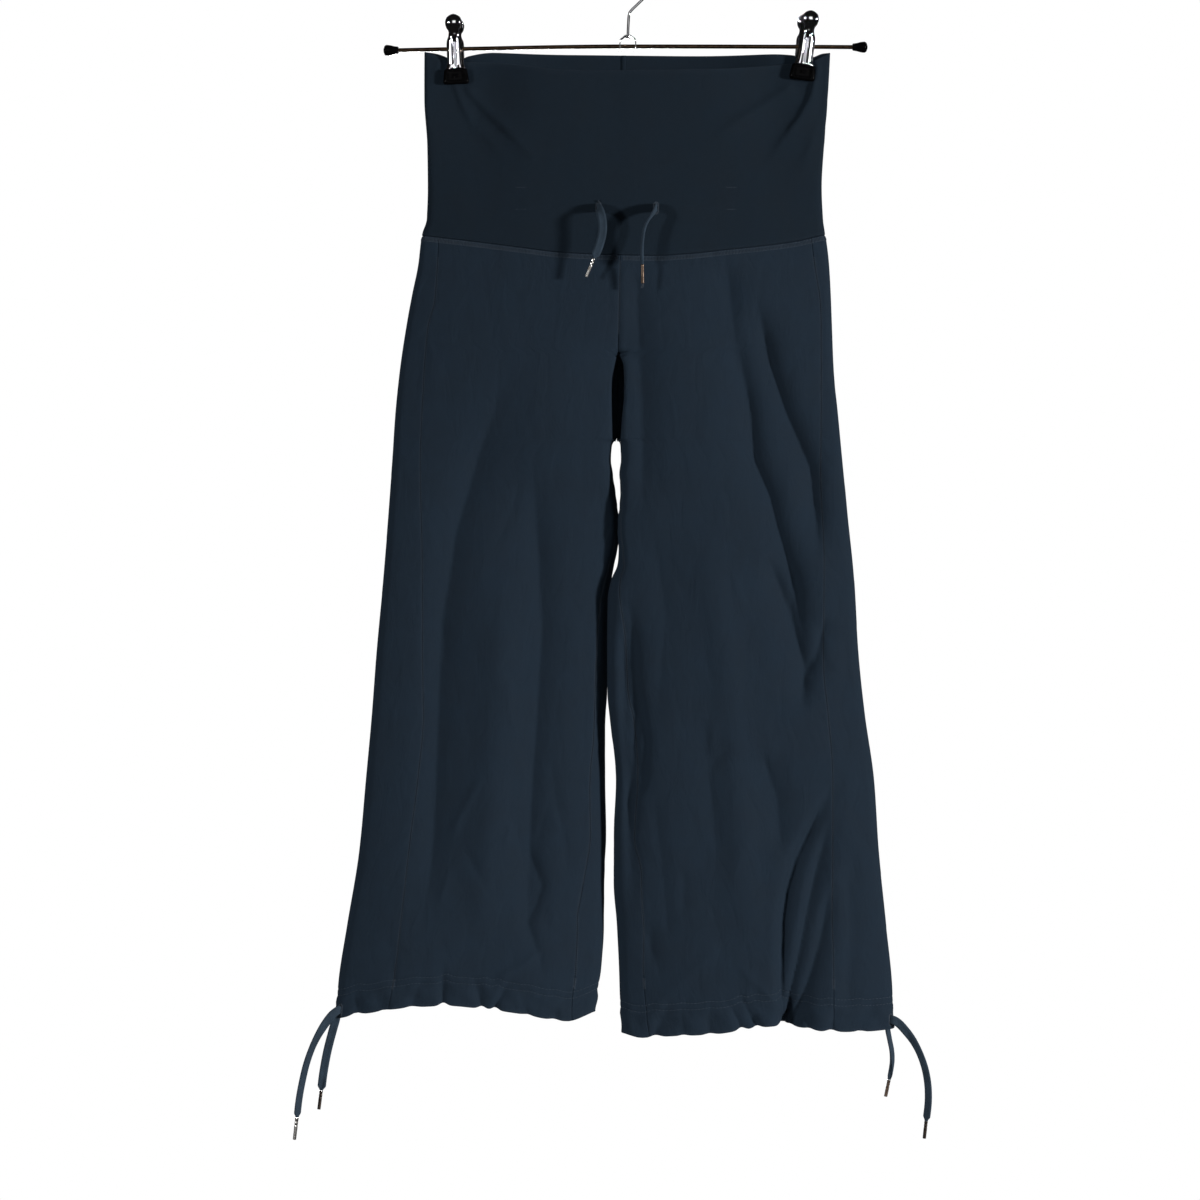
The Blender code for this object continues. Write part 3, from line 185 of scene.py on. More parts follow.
# Ridges that run down from the jaws over the tight cloth of the band, as above but measured outward.
BAND_RIDGES = (
    (FRONT, 1.9, 1.9, 7, ((-147, 116), (-143.5, 124), (-139, 136), (-131, 152), (-126, 166))),
    (FRONT, 2.6, 2.2, 9, ((-139, 118), (-132, 127), (-121, 139), (-105, 154), (-85, 176), (-72, 190))),
    (FRONT, 1.2, 3.4, 9, ((-128, 152), (-112, 172), (-98, 186))),
    (FRONT, 1.2, 8, 2.6, ((-156, 98), (-160, 110), (-163, 128))),
    (FRONT, 2.4, 3.6, 12, ((139, 117), (125, 127), (108, 139), (84, 154), (58, 176))),
    (FRONT, 3.4, 2.4, 12, ((158, 94), (155, 112), (150.5, 130), (141, 148), (128, 165), (108, 196))),
    (FRONT, 1.4, 3.2, 9, ((161, 140), (152, 168), (136, 200))),
    (BACK, 2.0, 2.4, 8, ((-140, 116), (-128, 130), (-96, 156), (-70, 180))),
    (BACK, 2.0, 8, 2.4, ((140, 114), (126, 130), (100, 154), (70, 182))),
)
CREASE_POWER = 1.15
# One row for each pucker of the drawn hems: x, half width, depth, lift.
GATHERS = {
    (LEFT, FRONT): ((-226, 5, 3.2, 2.0), (-203, 4, 1.6, 0.8), (-180, 6, 2.4, 1.2), (-154, 4, 4.6, 2.4),
                    (-122, 4, 4.4, 2.0), (-111, 3.6, 4.6, 2.2), (-84, 4, 1.8, 0.8), (-62, 5, 2.4, 1.2)),
    (RIGHT, FRONT): ((21, 5, 3.2, 1.8), (44, 4, 1.6, 0.8), (66, 5, 2.4, 1.2), (92, 4.0, 4.2, 2.2),
                     (105, 4.0, 4.4, 2.0), (126.5, 3.4, 7.4, 3.4), (133, 3, 2.6, 1.4), (148, 4, 2.0, 1.0),
                     (166, 5, 3.4, 2.0), (190, 4, 2.0, 1.0)),
    (LEFT, BACK): ((-214, 6, 2.8, 1.6), (-172, 6, 3.4, 2.0), (-136, 5, 3.0, 1.6), (-98, 5, 3.4, 2.0),
                   (-62, 6, 2.6, 1.4)),
    (RIGHT, BACK): ((34, 6, 3.0, 1.8), (74, 5, 2.8, 1.6), (116, 5, 4.0, 2.4), (150, 6, 3.0, 1.6),
                    (188, 6, 3.0, 1.8)),
}
# Middle and bottom of each clip's jaw, and how far the tops of its two halves lean to the right.
CLIPS = {
    "left": {"x": -143.2, "jaw_bottom": 119.8, FRONT: math.radians(-2.4), BACK: math.radians(-1.0)},
    "right": {"x": 143.0, "jaw_bottom": 116.3, FRONT: math.radians(8.1), BACK: math.radians(4.6)},
}
PINCH_HALF_WIDTH, PINCH_BELOW = 13.5, 6.0
PINCH_FADE_ACROSS, PINCH_FADE_DOWN = 36.0, 60.0
CROTCH_EASE = 4.0
FOLD_MARGIN = 22.0                          # the folds fade this near to the garment's own edges
FOLD_TAPER = 0.22                           # and over this share of their length at each end
BELLY_POWER = 2.8                           # 2 is a round belly; more hangs flatter
PUCKER_REACH, PUCKER_SLANT = 34.0, 0.5
PUCKER_STEEP, PUCKER_BROAD = 0.7, 1.3
NORMAL_TURN, NORMAL_DROP = 2e-3, 0.4        # the steps that normals are taken over
USUAL_DROP = {"rim": 100.0, "seam": 250.0, "hem": 890.0}


def smooth(value):
    """0 below 0, 1 above 1, and an even ease between."""
    value = np.clip(value, 0.0, 1.0)
    return value * value * (3.0 - 2.0 * value)


def bump(value):
    """A rounded hump of height 1 that fades out about two units away."""
    return np.exp(-value ** 2)


def unit(rows):
    return rows / np.maximum(np.linalg.norm(rows, axis=-1, keepdims=True), 1e-12)


def cubic(part, span, ends, slopes):
    """Between two ends, `part` of the way along a span, with the slopes given at both."""
    squared, cubed = part ** 2, part ** 3
    return ((2 * cubed - 3 * squared + 1) * ends[0] + (cubed - 2 * squared + part) * span * slopes[0]
            + (3 * squared - 2 * cubed) * ends[1] + (cubed - squared) * span * slopes[1])


def read(table, column, place):
    """A table's column at any place along its first one, by a cubic that never overshoots its rows."""
    xs = np.asarray(next(iter(table.values())), float)
    ys = np.asarray(table[column], float)
    steps = np.diff(xs)
    slopes = np.diff(ys) / steps
    bend = np.zeros(len(xs))
    same_way = slopes[1:] * slopes[:-1] > 0.0
    shared = 2.0 * slopes[1:] * slopes[:-1] / (slopes[1:] + slopes[:-1] + 1e-12)
    bend[1:-1] = np.where(same_way, shared, 0.0)
    bend[0], bend[-1] = slopes[0], slopes[-1]
    place = np.clip(np.asarray(place, float), xs[0], xs[-1])
    row = np.clip(np.searchsorted(xs, place) - 1, 0, len(steps) - 1)
    part = (place - xs[row]) / steps[row]
    return cubic(part, steps[row], (ys[row], ys[row + 1]), (bend[row], bend[row + 1]))


def column_of(side):
    return "left" if side == LEFT else "right"


def on_front(turn):
    """Whether each turn round the body lies on the front layer."""
    return np.where(turn > 2.0, turn - 2.0, turn) <= 1.0


def line_distance(x, drop, line):
    """Distance from points on the cloth to a line that runs down it (less than 0 on its left), and
    how far along it the nearest point lies."""
    best, across, along = np.full(np.shape(x), 1e9), np.zeros(np.shape(x)), np.zeros(np.shape(x))
    spans = [math.dist(a, b) for a, b in zip(line, line[1:])]
    total = sum(spans)
    passed = 0.0
    for start, end, span in zip(line, line[1:], spans):
        dx, dz = (end[0] - start[0]) / span, (end[1] - start[1]) / span
        reach = np.clip((x - start[0]) * dx + (drop - start[1]) * dz, 0.0, span)
        away = np.hypot(x - start[0] - reach * dx, drop - start[1] - reach * dz)
        closer = away < best
        best = np.where(closer, away, best)
        across = np.where(closer, (x - start[0]) * dz - (drop - start[1]) * dx, across)
        along = np.where(closer, (passed + reach) / total, along)
        passed += span
    return np.where(across < 0.0, -best, best), along


def trough(away, reach_left, reach_right):
    """The cross section of a fold: a rounded hollow, or a creased one where its reaches differ."""
    reach = np.where(away < 0.0, reach_left, reach_right)
    return np.exp(-np.abs(away / reach) ** (2.0 if reach_left == reach_right else CREASE_POWER))


def pinched(x, drop):
    """1 where a clip holds the cloth flat, fading to 0 across and below it."""
    held = np.zeros(np.shape(x))
    for clip in CLIPS.values():
        across = np.maximum(np.abs(x - clip["x"]) - PINCH_HALF_WIDTH, 0.0) / PINCH_FADE_ACROSS
        below = np.maximum(drop - clip["jaw_bottom"] - PINCH_BELOW, 0.0) / PINCH_FADE_DOWN
        held = np.maximum(held, np.exp(-across ** 2 - below ** 2))
    return held


def hem_drop(side, layer, x):
    """Height of the bottom edge, with its puckers drawn up."""
    edge = read(HEM[side], "front" if layer == FRONT else "back", x)
    for place, width, _depth, lift in GATHERS[side, layer]:
        edge = edge - lift * bump((x - place) / width)
    return edge


def round_end(distance, width):
    """The share of a fold's depth that is reached at a distance from its edge: a quarter round."""
    return np.sqrt(1.0 - (1.0 - np.clip(distance / width, 0.0, 1.0)) ** 2)


def surface(side, turn, drop, centre_gap=0.0):
    """The outer face of the cloth as (x, y, z) rows.

    `turn` goes round one half of the body: 0 is the inner end of the front layer, 1 the outer
    fold, and 2 the inner end of the back layer. Above the crotch both inner ends lie on the
    centre line, and below it they meet on the leg's inner fold.
    """
    turn, drop = np.broadcast_arrays(np.asarray(turn, float), np.asarray(drop, float))
    turn = np.where(turn > 2.0, turn - 2.0, turn)
    turn = np.where(turn < 0.0, turn + 2.0, turn)
    is_front = turn <= 1.0
    layer = np.where(is_front, FRONT, BACK)
    inward = np.where(is_front, turn, 2.0 - turn)
    column = column_of(side)

    above = drop <= CROTCH_DROP
    centre = read(CENTRE, "x", drop) + side * centre_gap / 2.0
    gap_left = smooth((CROTCH_DROP + CROTCH_EASE - drop) / CROTCH_EASE)
    fold = read(INNER_FOLD, column, drop) + side * centre_gap / 2.0 * gap_left
    inner_x = np.where(above, centre, fold)
    outer_x = read(OUTER_FOLD, column, drop)
    width = np.abs(outer_x - inner_x)
    height = np.maximum(CROTCH_DROP - drop, 0.0)
    grown = np.where(is_front, read(RISE, "front", height), read(RISE, "back", height))
    hidden = grown * width
    whole = width + hidden
    start = np.arccos(np.clip(1.0 - 2.0 * hidden / whole, -1.0, 1.0))
    across = 0.5 * (1.0 - np.cos(start + (math.pi - start) * inward))
    x = outer_x - np.sign(outer_x - inner_x) * whole * (1.0 - across)

    from_inner, from_outer = whole * across, whole * (1.0 - across)
    shown = np.clip((from_inner - hidden) / width, 0.0, 1.0)
    inner_depth, outer_depth = read(SECTION, "inner_depth", drop), read(SECTION, "outer_depth", drop)
    fold_depth = ((inner_depth + (outer_depth - inner_depth) * smooth(shown))
                  * round_end(from_inner, read(SECTION, "inner_width", drop))
                  * round_end(from_outer, read(SECTION, "outer_width", drop)))
    belly = np.where(is_front, read(SECTION, "front", drop), read(SECTION, "back", drop))
    depth = fold_depth + belly * (1.0 - np.abs(2.0 * across - 1.0) ** BELLY_POWER)

    inside = smooth(np.minimum(from_inner, from_outer) / FOLD_MARGIN)
    for face, sink, reach_left, reach_right, line in FOLDS:
        if np.any(layer == face):
            away, along = line_distance(x, drop, line)
            taper = smooth(along / FOLD_TAPER) * smooth((1.0 - along) / FOLD_TAPER)
            hollow = sink * taper * inside * trough(away, reach_left, reach_right)
            depth = depth - np.where(layer == face, hollow, 0.0)
    edge = np.where(is_front, hem_drop(side, FRONT, x), hem_drop(side, BACK, x))
    near_hem = smooth(1.0 - (edge - drop) / PUCKER_REACH)
    for face in (FRONT, BACK):
        for place, half_width, sink, _lift in GATHERS[side, face]:
            slanted = place + PUCKER_SLANT * math.sin(place) * np.clip(edge - drop, 0.0, PUCKER_REACH)
            groove = trough(x - slanted, half_width * PUCKER_STEEP, half_width * PUCKER_BROAD)
            depth = depth - np.where(layer == face, sink * near_hem * groove * inside, 0.0)
    past_wall = side * (read(WEDGE, column, drop) - x)
    gap = smooth(past_wall / WEDGE_WALL) * smooth((drop - WEDGE["drop"][0]) / WEDGE_TOP)
    depth = depth * (1.0 - WEDGE_SINK * np.where(above & is_front, gap, 0.0))
    held = pinched(x, drop)
    depth = depth * (1.0 - held) + np.minimum(depth, PINCH_DEPTH) * held
    lean = np.where(above, 0.0, read(INNER_FOLD, column + "_lean", drop)) * (1.0 - shown) ** 2
    return np.stack([x, layer * depth + lean, -drop], axis=-1)


def facing(side, turn, drop, centre_gap=0.0):
    """Unit normals of the outer face, pointing out of the garment."""
    turn, drop = np.broadcast_arrays(np.asarray(turn, float), np.asarray(drop, float))
    closed = drop > CROTCH_DROP
    ahead = np.where(closed, turn + NORMAL_TURN, np.minimum(turn + NORMAL_TURN, 2.0))
    behind = np.where(closed, turn - NORMAL_TURN, np.maximum(turn - NORMAL_TURN, 0.0))
    along = surface(side, ahead, drop, centre_gap) - surface(side, behind, drop, centre_gap)
    down = (surface(side, turn, drop + NORMAL_DROP, centre_gap)
            - surface(side, turn, drop - NORMAL_DROP, centre_gap))
    return unit(np.cross(down, along) * side)


def turn_at(side, drop, x):
    """Where on the front layer each x lies, as a turn from 0 to 1, for matching rows of drops."""
    turns = np.linspace(0.0, 1.0, 401)
    rows = surface(side, turns[None, :], np.asarray(drop, float)[:, None])[..., 0] * side
    return np.array([np.interp(at * side, row, turns) for at, row in zip(np.atleast_1d(x), rows)])


def edge_drop(side, turn, kind):
    """Height of the rim, waist seam or hem at each turn."""
    turn = np.asarray(turn, float)
    x = surface(side, turn, USUAL_DROP[kind])[..., 0]
    if kind == "hem":
        return np.where(on_front(turn), hem_drop(side, FRONT, x), hem_drop(side, BACK, x))
    table = RIM if kind == "rim" else WAIST_SEAM
    return np.where(on_front(turn), read(table, "front", x), read(table, "back", x))


# The knit's own small rise and fall: slack between the folds that fades out under the clips,
# ripples along what is sewn, and the print of the drawcord in its channel.
HEM_ROWS = {LEFT: (19.0, 24.2), RIGHT: (21.4, 26.6)}      # the two needle rows, above the bottom edge
SEAM_ROWS = (1.1, 4.3)                                     # and below the waist seam
CORD_CHANNEL = {"x": (-90, -25, 22, 85), "drop": (220.5, 222.5, 222.5, 220.0)}
CHANNEL_ENDS, CHANNEL_FADE = (-92.0, 88.0), 6.0
SLACK = 0.34
# Forms beside what is sewn, each as its height, how far off it lies and how far it reaches.
WAIST_RIPPLE, WAIST_GROOVE = (0.16, 3.0, 6.0), (-0.30, 0.0, 1.3)
SIDE_PULL, SIDE_GROOVE, SIDE_RIDGE = (0.30, 2.2, 3.4), (-0.12, 0.0, 1.3), (0.10, 3.6, 2.0)
RISE_PULL, RISE_GROOVE, RISE_RIDGE = (0.34, 3.0, 3.2), (-0.4, 0.0, 1.4), (0.34, 4.2, 2.2)
HEM_RIPPLE, HEM_GROOVE, CHANNEL_RIDGE = (0.22, 0.0, 8.0), (-0.28, 0.0, 0.9), (0.5, 0.0, 3.8)
HEM_CRINKLE, CASING_SWELL = 0.5, 0.45
RIDGES_END, CREASES_START = 250.0, 300.0                   # the lowest ridge, the highest small crease
RISE_STITCHED_TO = 350.0


def waver(x, drop, phase):
    """Slow uneven swell, between about -1 and 1."""
    bend_x = x / 24.0 + 1.1 * np.sin(drop / 97.0 + phase)
    bend_z = drop / 93.0 + 0.9 * np.sin(x / 43.0 + 2.0 * phase)
    broad = 0.6 * np.sin(bend_x + phase) * np.sin(bend_z)
    close = 0.4 * np.sin(x / 9.0 + 0.8 * np.sin(drop / 59.0) + phase) * np.sin(drop / 71.0 + x / 61.0)
    return broad + close


def small_creases():
    """Short soft creases scattered over both layers, in rows as in FOLDS."""
    random = np.random.default_rng(23)
    rows = []
    for face in (FRONT, BACK):
        for _each in range(54):
            x, drop = random.uniform(-225.0, 205.0), random.uniform(CREASES_START, 885.0)
            long, slant = random.uniform(9.0, 34.0), random.normal(0.0, 0.4)
            reach = random.uniform(2.6, 5.0)
            rise = (random.uniform(0.4, 1.2) * random.choice((-1.0, 1.0))
                    * (0.5 + 0.7 * smooth((drop - 420.0) / 300.0)))
            bend = random.normal(0.0, 2.4)
            line = ((x - slant * long, drop - long), (x + bend, drop), (x + slant * long, drop + long))
            rows.append((face, rise, reach, reach * random.uniform(1.0, 2.0), line))
    return rows


SMALL_CREASES = small_creases()


def creases(rows, layer, x, drop, start_share, end_share):
    """Height of ridges that each belong to one layer."""
    height = np.zeros(np.shape(x))
    for face, rise, reach_left, reach_right, line in rows:
        near = layer == face
        if np.any(near):
            away, along = line_distance(x, drop, line)
            taper = smooth(along / start_share) * smooth((1.0 - along) / end_share)
            height = height + np.where(near, rise * taper * trough(away, reach_left, reach_right), 0.0)
    return height


def seam_offset(side, x, drop):
    """Distance across the front to the side seam or the inseam, whichever is nearer."""
    column = column_of(side)
    at_side = read(SIDE_SEAM, column, drop)
    at_inseam = read(INNER_FOLD, column, drop) + side * read(INSEAM, column, drop)
    at_inseam = np.where(drop > CROTCH_DROP, at_inseam, at_side)
    to_side, to_inseam = x - at_side, x - at_inseam
    return np.where(np.abs(to_side) < np.abs(to_inseam), to_side, to_inseam)


def beside(form, distance, share=1.0):
    """The height of a form at each distance from what is sewn."""
    height, place, reach = form
    return height * share * bump((distance - place) / reach)


def relief(side, turn, x, drop):
    """How far the cloth stands out from its plain hang, in mm."""
    front = on_front(turn)
    layer = np.where(front, FRONT, BACK)
    from_seam = drop - edge_drop(side, turn, "seam")
    above_hem = edge_drop(side, turn, "hem") - drop
    height = SLACK * waver(x, drop, 0.7 + layer + 0.3 * side) * (1.0 - pinched(x, drop))
    if np.any(drop < RIDGES_END):
        from_fold = side * (read(OUTER_FOLD, column_of(side), drop) - x)
        drawn_up = smooth((-8.0 - from_seam) / 20.0) * smooth((from_fold - 2.0) / 12.0)
        height = height + creases(BAND_RIDGES, layer, x, drop, 0.12, 0.5) * drawn_up
    if np.any(drop > CREASES_START):
        height = height + creases(SMALL_CREASES, layer, x, drop, 0.3, 0.3)
    ripple = np.sin(x / 1.9 + 1.3 * np.sin(x / 11.0)) * 0.6 + np.sin(x / 3.3 + 1.0) * 0.4
    height = height + beside(WAIST_RIPPLE, from_seam, ripple) + beside(WAIST_GROOVE, from_seam)

    stitched = front & (from_seam > 6.0)
    pull = np.sin(drop / 2.3 + 1.4 * np.sin(drop / 15.0)) * 0.6 + np.sin(drop / 4.1 + 2.0) * 0.4
    on_rise = smooth((RISE_STITCHED_TO - drop) / 12.0)
    for there, away, forms in (
            (1.0, seam_offset(side, x, drop), (SIDE_PULL, SIDE_GROOVE, SIDE_RIDGE)),
            (on_rise, x - read(CENTRE, "x", drop), (RISE_PULL, RISE_GROOVE, RISE_RIDGE))):
        pulled, groove, ridge = forms
        height = height + np.where(stitched, there, 0.0) * (
            beside(pulled, np.abs(away), pull) + beside(groove, away) + beside(ridge, away))

    rows = HEM_ROWS[side]
    height = height + beside(HEM_RIPPLE, above_hem - sum(rows) / 2.0, ripple)
    drawn = (np.sin((x + 0.9 * above_hem) / 4.3 + 1.2 * np.sin(x / 17.0))
             + np.sin((x - 1.3 * above_hem) / 6.1 + 2.0))
    height = height + HEM_CRINKLE * drawn * smooth((rows[0] - above_hem) / 7.0) * smooth(above_hem / 4.0)
    height = height + CASING_SWELL * smooth((rows[0] - above_hem) / 5.0)
    for row in rows:
        height = height + beside(HEM_GROOVE, above_hem - row)
    covered = (smooth((x - CHANNEL_ENDS[0]) / CHANNEL_FADE) * smooth((CHANNEL_ENDS[1] - x) / CHANNEL_FADE)
               * np.where(front, 1.0, 0.0))
    channel = read(CORD_CHANNEL, "drop", x)
    return height + beside(CHANNEL_RIDGE, drop - channel, smooth(-from_seam / 3.0) * covered)


def cloth(side, turn, drop, centre_gap=0.0):
    """Points on the cloth's outer face with its small relief, and the way they face."""
    points = surface(side, turn, drop, centre_gap)
    normals = facing(side, turn, drop, centre_gap)
    turn, drop = np.broadcast_arrays(np.asarray(turn, float), np.asarray(drop, float))
    raised = relief(side, turn, points[..., 0], drop)
    return points + normals * raised[..., None], normals


# ---- knit and its dye ----
# Brushed cotton and elastane jersey in dark navy: fine columns of loops, a soft nap that catches
# light at a glancing angle, and a little fading where edges and seams rub.
def put(tree, kind, *inputs, **settings):
    """A node with its sockets filled in order, from plain values or from other nodes' outputs."""
    made = tree.nodes.new(kind)
    for name, value in settings.items():
        setattr(made, name, value)
    for index, value in enumerate(inputs):
        if isinstance(value, bpy.types.NodeSocket):
            tree.links.new(value, made.inputs[index])
        elif value is not None:
            made.inputs[index].default_value = value
    return made


def sums(tree, operation, *inputs):
    """The output of a Math node."""
    return put(tree, "ShaderNodeMath", *inputs, operation=operation).outputs[0]


def ranged(tree, value, *limits):
    """A value carried over from one range to another."""
    return put(tree, "ShaderNodeMapRange", value, *limits).outputs[0]


def wire(tree, node, **values):
    """Fill sockets by name, with _ for each space, from plain values or other nodes' outputs."""
    for name, value in values.items():
        socket = node.inputs[name.replace("_", " ")]
        if isinstance(value, bpy.types.NodeSocket):
            tree.links.new(value, socket)
        else:
            socket.default_value = value
    return node


def noise(tree, place, scale, detail, dimensions="3D", **more):
    """Uneven grey of a Noise Texture; `more` fills its other sockets."""
    made = put(tree, "ShaderNodeTexNoise", place, noise_dimensions=dimensions)
    return wire(tree, made, Scale=scale, Detail=detail, **more).outputs["Fac"]


def blend(tree, factor, *colours):
    """The colour between two, each of them plain or another node's output."""
    pair = [colour if isinstance(colour, bpy.types.NodeSocket) else (*colour, 1.0) for colour in colours]
    return put(tree, "ShaderNodeMix", factor, *[None] * 5, *pair, data_type="RGBA").outputs[2]


def scaled(tree, colour, share):
    """A colour made lighter or darker."""
    made = put(tree, "ShaderNodeVectorMath", colour, None, operation="SCALE")
    return wire(tree, made, Scale=share).outputs[0]


def bumped(tree, strength, distance, height, **more):
    """The normal of a Bump node."""
    return wire(tree, put(tree, "ShaderNodeBump", strength, distance), Height=height, **more).outputs[0]


def shader_group(name, inputs, outputs):
    """An empty shader node group with named sockets, and its two end nodes."""
    tree = bpy.data.node_groups.new(name, "ShaderNodeTree")
    for label, kind, value in inputs:
        socket = tree.interface.new_socket(label, in_out="INPUT", socket_type=kind)
        if value is not None:
            socket.default_value = value
    for label, kind in outputs:
        tree.interface.new_socket(label, in_out="OUTPUT", socket_type=kind)
    return tree, tree.nodes.new("NodeGroupInput"), tree.nodes.new("NodeGroupOutput")


def use_group(tree, group, **values):
    """A group placed in a material, its sockets set by name."""
    made = tree.nodes.new("ShaderNodeGroup")
    made.node_tree = group
    return wire(tree, made, **values)


def new_material(name, colour, roughness, **constants):
    """A Principled material, and its tree and shader for the maker to wire."""
    made = bpy.data.materials.new(name)
    made.use_nodes = True
    shader = made.node_tree.nodes["Principled BSDF"]
    wire(made.node_tree, shader, Base_Color=(*colour, 1.0), Roughness=roughness, **constants)
    return made, made.node_tree, shader


def knit_face():
    """Loops of a jersey face, as a height, and the uneven take-up of dye and nap."""
    tree, start, end = shader_group(
        "knit_face",
        (("Cloth", "NodeSocketVector", None), ("Wale Width", "NodeSocketFloat", 0.00066),
         ("Course Height", "NodeSocketFloat", 0.0005)),
        (("Height", "NodeSocketFloat"), ("Dye", "NodeSocketFloat"), ("Nap", "NodeSocketFloat"),
         ("Crumple", "NodeSocketFloat")))
    flat = start.outputs["Cloth"]
    place = put(tree, "ShaderNodeSeparateXYZ", flat)
    drift = sums(tree, "MULTIPLY_ADD", noise(tree, flat, 260.0, 2.0, "2D"), 0.5, -0.25)
    wale = sums(tree, "ADD", sums(tree, "DIVIDE", place.outputs["X"], start.outputs["Wale Width"]), drift)
    course = sums(tree, "ADD",
                  sums(tree, "DIVIDE", place.outputs["Y"], start.outputs["Course Height"]), drift)
    leg = sums(tree, "ABSOLUTE", sums(tree, "SUBTRACT", sums(tree, "FRACT", wale), 0.5))
    legs = sums(tree, "SINE", sums(tree, "MULTIPLY", leg, 2.0 * math.pi))
    slant = sums(tree, "MULTIPLY", sums(tree, "MULTIPLY_ADD", leg, 1.2, course), 2.0 * math.pi)
    loops = sums(tree, "MULTIPLY_ADD", sums(tree, "COSINE", slant), 0.5, 0.5)
    crown = sums(tree, "MULTIPLY_ADD", loops, 0.7, 0.3)
    drawn = wire(tree, put(tree, "ShaderNodeMapping", flat), Rotation=(0.0, 0.0, 0.25),
                 Scale=(1.0, 0.42, 1.0))
    wire(tree, end, Height=sums(tree, "MULTIPLY", legs, crown),
         Dye=noise(tree, flat, 34.0, 6.0, "2D", Roughness=0.62),
         Nap=noise(tree, flat, 1900.0, 3.0, "2D"),
         Crumple=noise(tree, drawn.outputs[0], 72.0, 3.5, "2D", Roughness=0.52, Distortion=0.5))
    return tree


KNIT_FACE = knit_face()


def knit(name, colour, faded, wale, course, depth, crumple):
    """A jersey in one dye, with its fade where the piece's `rubbed` attribute says, and painted shade
    between its loops.
    """
    made, tree, shader = new_material(name, colour, 0.84, Sheen_Weight=0.035, Sheen_Roughness=0.42,
                                      Specular_IOR_Level=0.08, Sheen_Tint=(0.55, 0.68, 0.85, 1.0))
    cloth_map = put(tree, "ShaderNodeUVMap", uv_map="cloth")
    face = use_group(tree, KNIT_FACE, Cloth=cloth_map.outputs[0], Wale_Width=wale, Course_Height=course)
    height, dye, nap = (face.outputs[label] for label in ("Height", "Dye", "Nap"))
    rubbed = put(tree, "ShaderNodeAttribute", attribute_name="rubbed")
    shade = sums(tree, "MULTIPLY", ranged(tree, dye, 0.3, 0.7, 0.94, 1.06),
                 ranged(tree, nap, 0.25, 0.75, 0.82, 1.2))
    # Painted shade: the colour darkens between the loops, where the knit's height is low.
    shade = sums(tree, "MULTIPLY", shade, ranged(tree, height, 0.0, 1.0, 0.72, 1.12))
    worn = sums(tree, "MULTIPLY", rubbed.outputs["Fac"], sums(tree, "MULTIPLY", dye, 1.1))
    slack = bumped(tree, 0.5, crumple, face.outputs["Crumple"])
    lump = sums(tree, "MULTIPLY_ADD", nap, 0.35, height)
    wire(tree, shader, Base_Color=blend(tree, worn, scaled(tree, (*colour,), shade), faded),
         Roughness=ranged(tree, dye, 0.3, 0.7, 0.78, 0.9),
         Normal=bumped(tree, 0.55, depth, lump, Normal=slack))
    return made


NAVY_KNIT = knit("navy_knit", (0.0108, 0.0194, 0.0311), (0.024, 0.035, 0.050), wale=0.00066,
                 course=0.0005, depth=0.00011, crumple=0.0019)
NAVY_BAND = knit("navy_band_knit", (0.0074, 0.0137, 0.0216), (0.020, 0.029, 0.041), wale=0.00058,
                 course=0.00045, depth=0.0001, crumple=0.0006)


def ride(piece):
    """Every piece goes with the one body."""
    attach(piece, "root")
    return piece


def link_piece(name, mesh, finish):
    """A new object for a finished mesh, in metres and in its place."""
    if finish is not None:
        mesh.materials.clear()
        mesh.materials.append(finish)
    piece = bpy.data.objects.new(name, mesh)
    bpy.context.scene.collection.objects.link(piece)
    return piece


def outward(mesh):
    """Turn a closed mesh's faces out of its solid."""
    shape = bmesh.new()
    shape.from_mesh(mesh)
    bmesh.ops.recalc_face_normals(shape, faces=shape.faces)
    if shape.calc_volume(signed=True) < 0.0:
        bmesh.ops.reverse_faces(shape, faces=shape.faces)
    shape.to_mesh(mesh)
    shape.free()
    mesh.shade_smooth()


EDGE_STEPS = (0.0, 0.12, 0.3, 0.6, 1.1, 1.8)       # columns and rows close to an edge, mm from it
SEAM_ROUND = 0.7                                    # rounding of a sewn edge
SEAM_TURNING = 0.35                                 # the allowance turned in behind a seam
FRINGE = 1.0                                        # how far from the edge the turning reaches
FOLD_ROUND = 0.46                                   # rounding of a folded edge, as a share of the wall
LEAST_WALL = 0.12
SEWN_WEAR, FOLD_WEAR = (0.1, 0.0, 1.6), (0.3, 0.0, 1.8)


def running(steps):
    """Sums from 0 along the last axis."""
    return np.concatenate([np.zeros(steps.shape[:-1] + (1,)), np.cumsum(steps, axis=-1)], axis=-1)


def paced(points, turns, tips, count, trims):
    """Turns of `count` columns on each row: fixed steps at both edges, even between, closer at the tips."""
    steps = np.linalg.norm(np.diff(points, axis=1), axis=2)
    length = running(steps)
    crowd = np.ones_like(length)
    for tip, strength, reach in tips:
        away = np.linalg.norm(points - tip[:, None], axis=2)
        crowd += strength[:, None] * bump(away / reach)
    weight = running(0.5 * (crowd[:, 1:] + crowd[:, :-1]) * steps)
    edge = np.array(EDGE_STEPS)
    places, found = [], []
    for row in range(len(points)):
        first, last = trims[row][0] + edge[-1], length[row, -1] - trims[row][1] - edge[-1]
        ends = np.interp([first, last], length[row], weight[row])
        inner = np.interp(np.linspace(*ends, count - 2 * len(edge) + 2)[1:-1], weight[row], length[row])
        at = np.concatenate([trims[row][0] + edge, inner, length[row, -1] - trims[row][1] - edge[::-1]])
        places.append(at)
        found.append(np.interp(at, length[row], turns[row]))
    return np.array(found), np.array(places), length[:, -1]


def edge_sink(distance, radius):
    """How far a rounded edge of that radius falls away, at a distance from it."""
    near = np.clip((radius - distance) / radius, 0.0, 1.0)
    return radius * (1.0 - np.sqrt(1.0 - near ** 2))


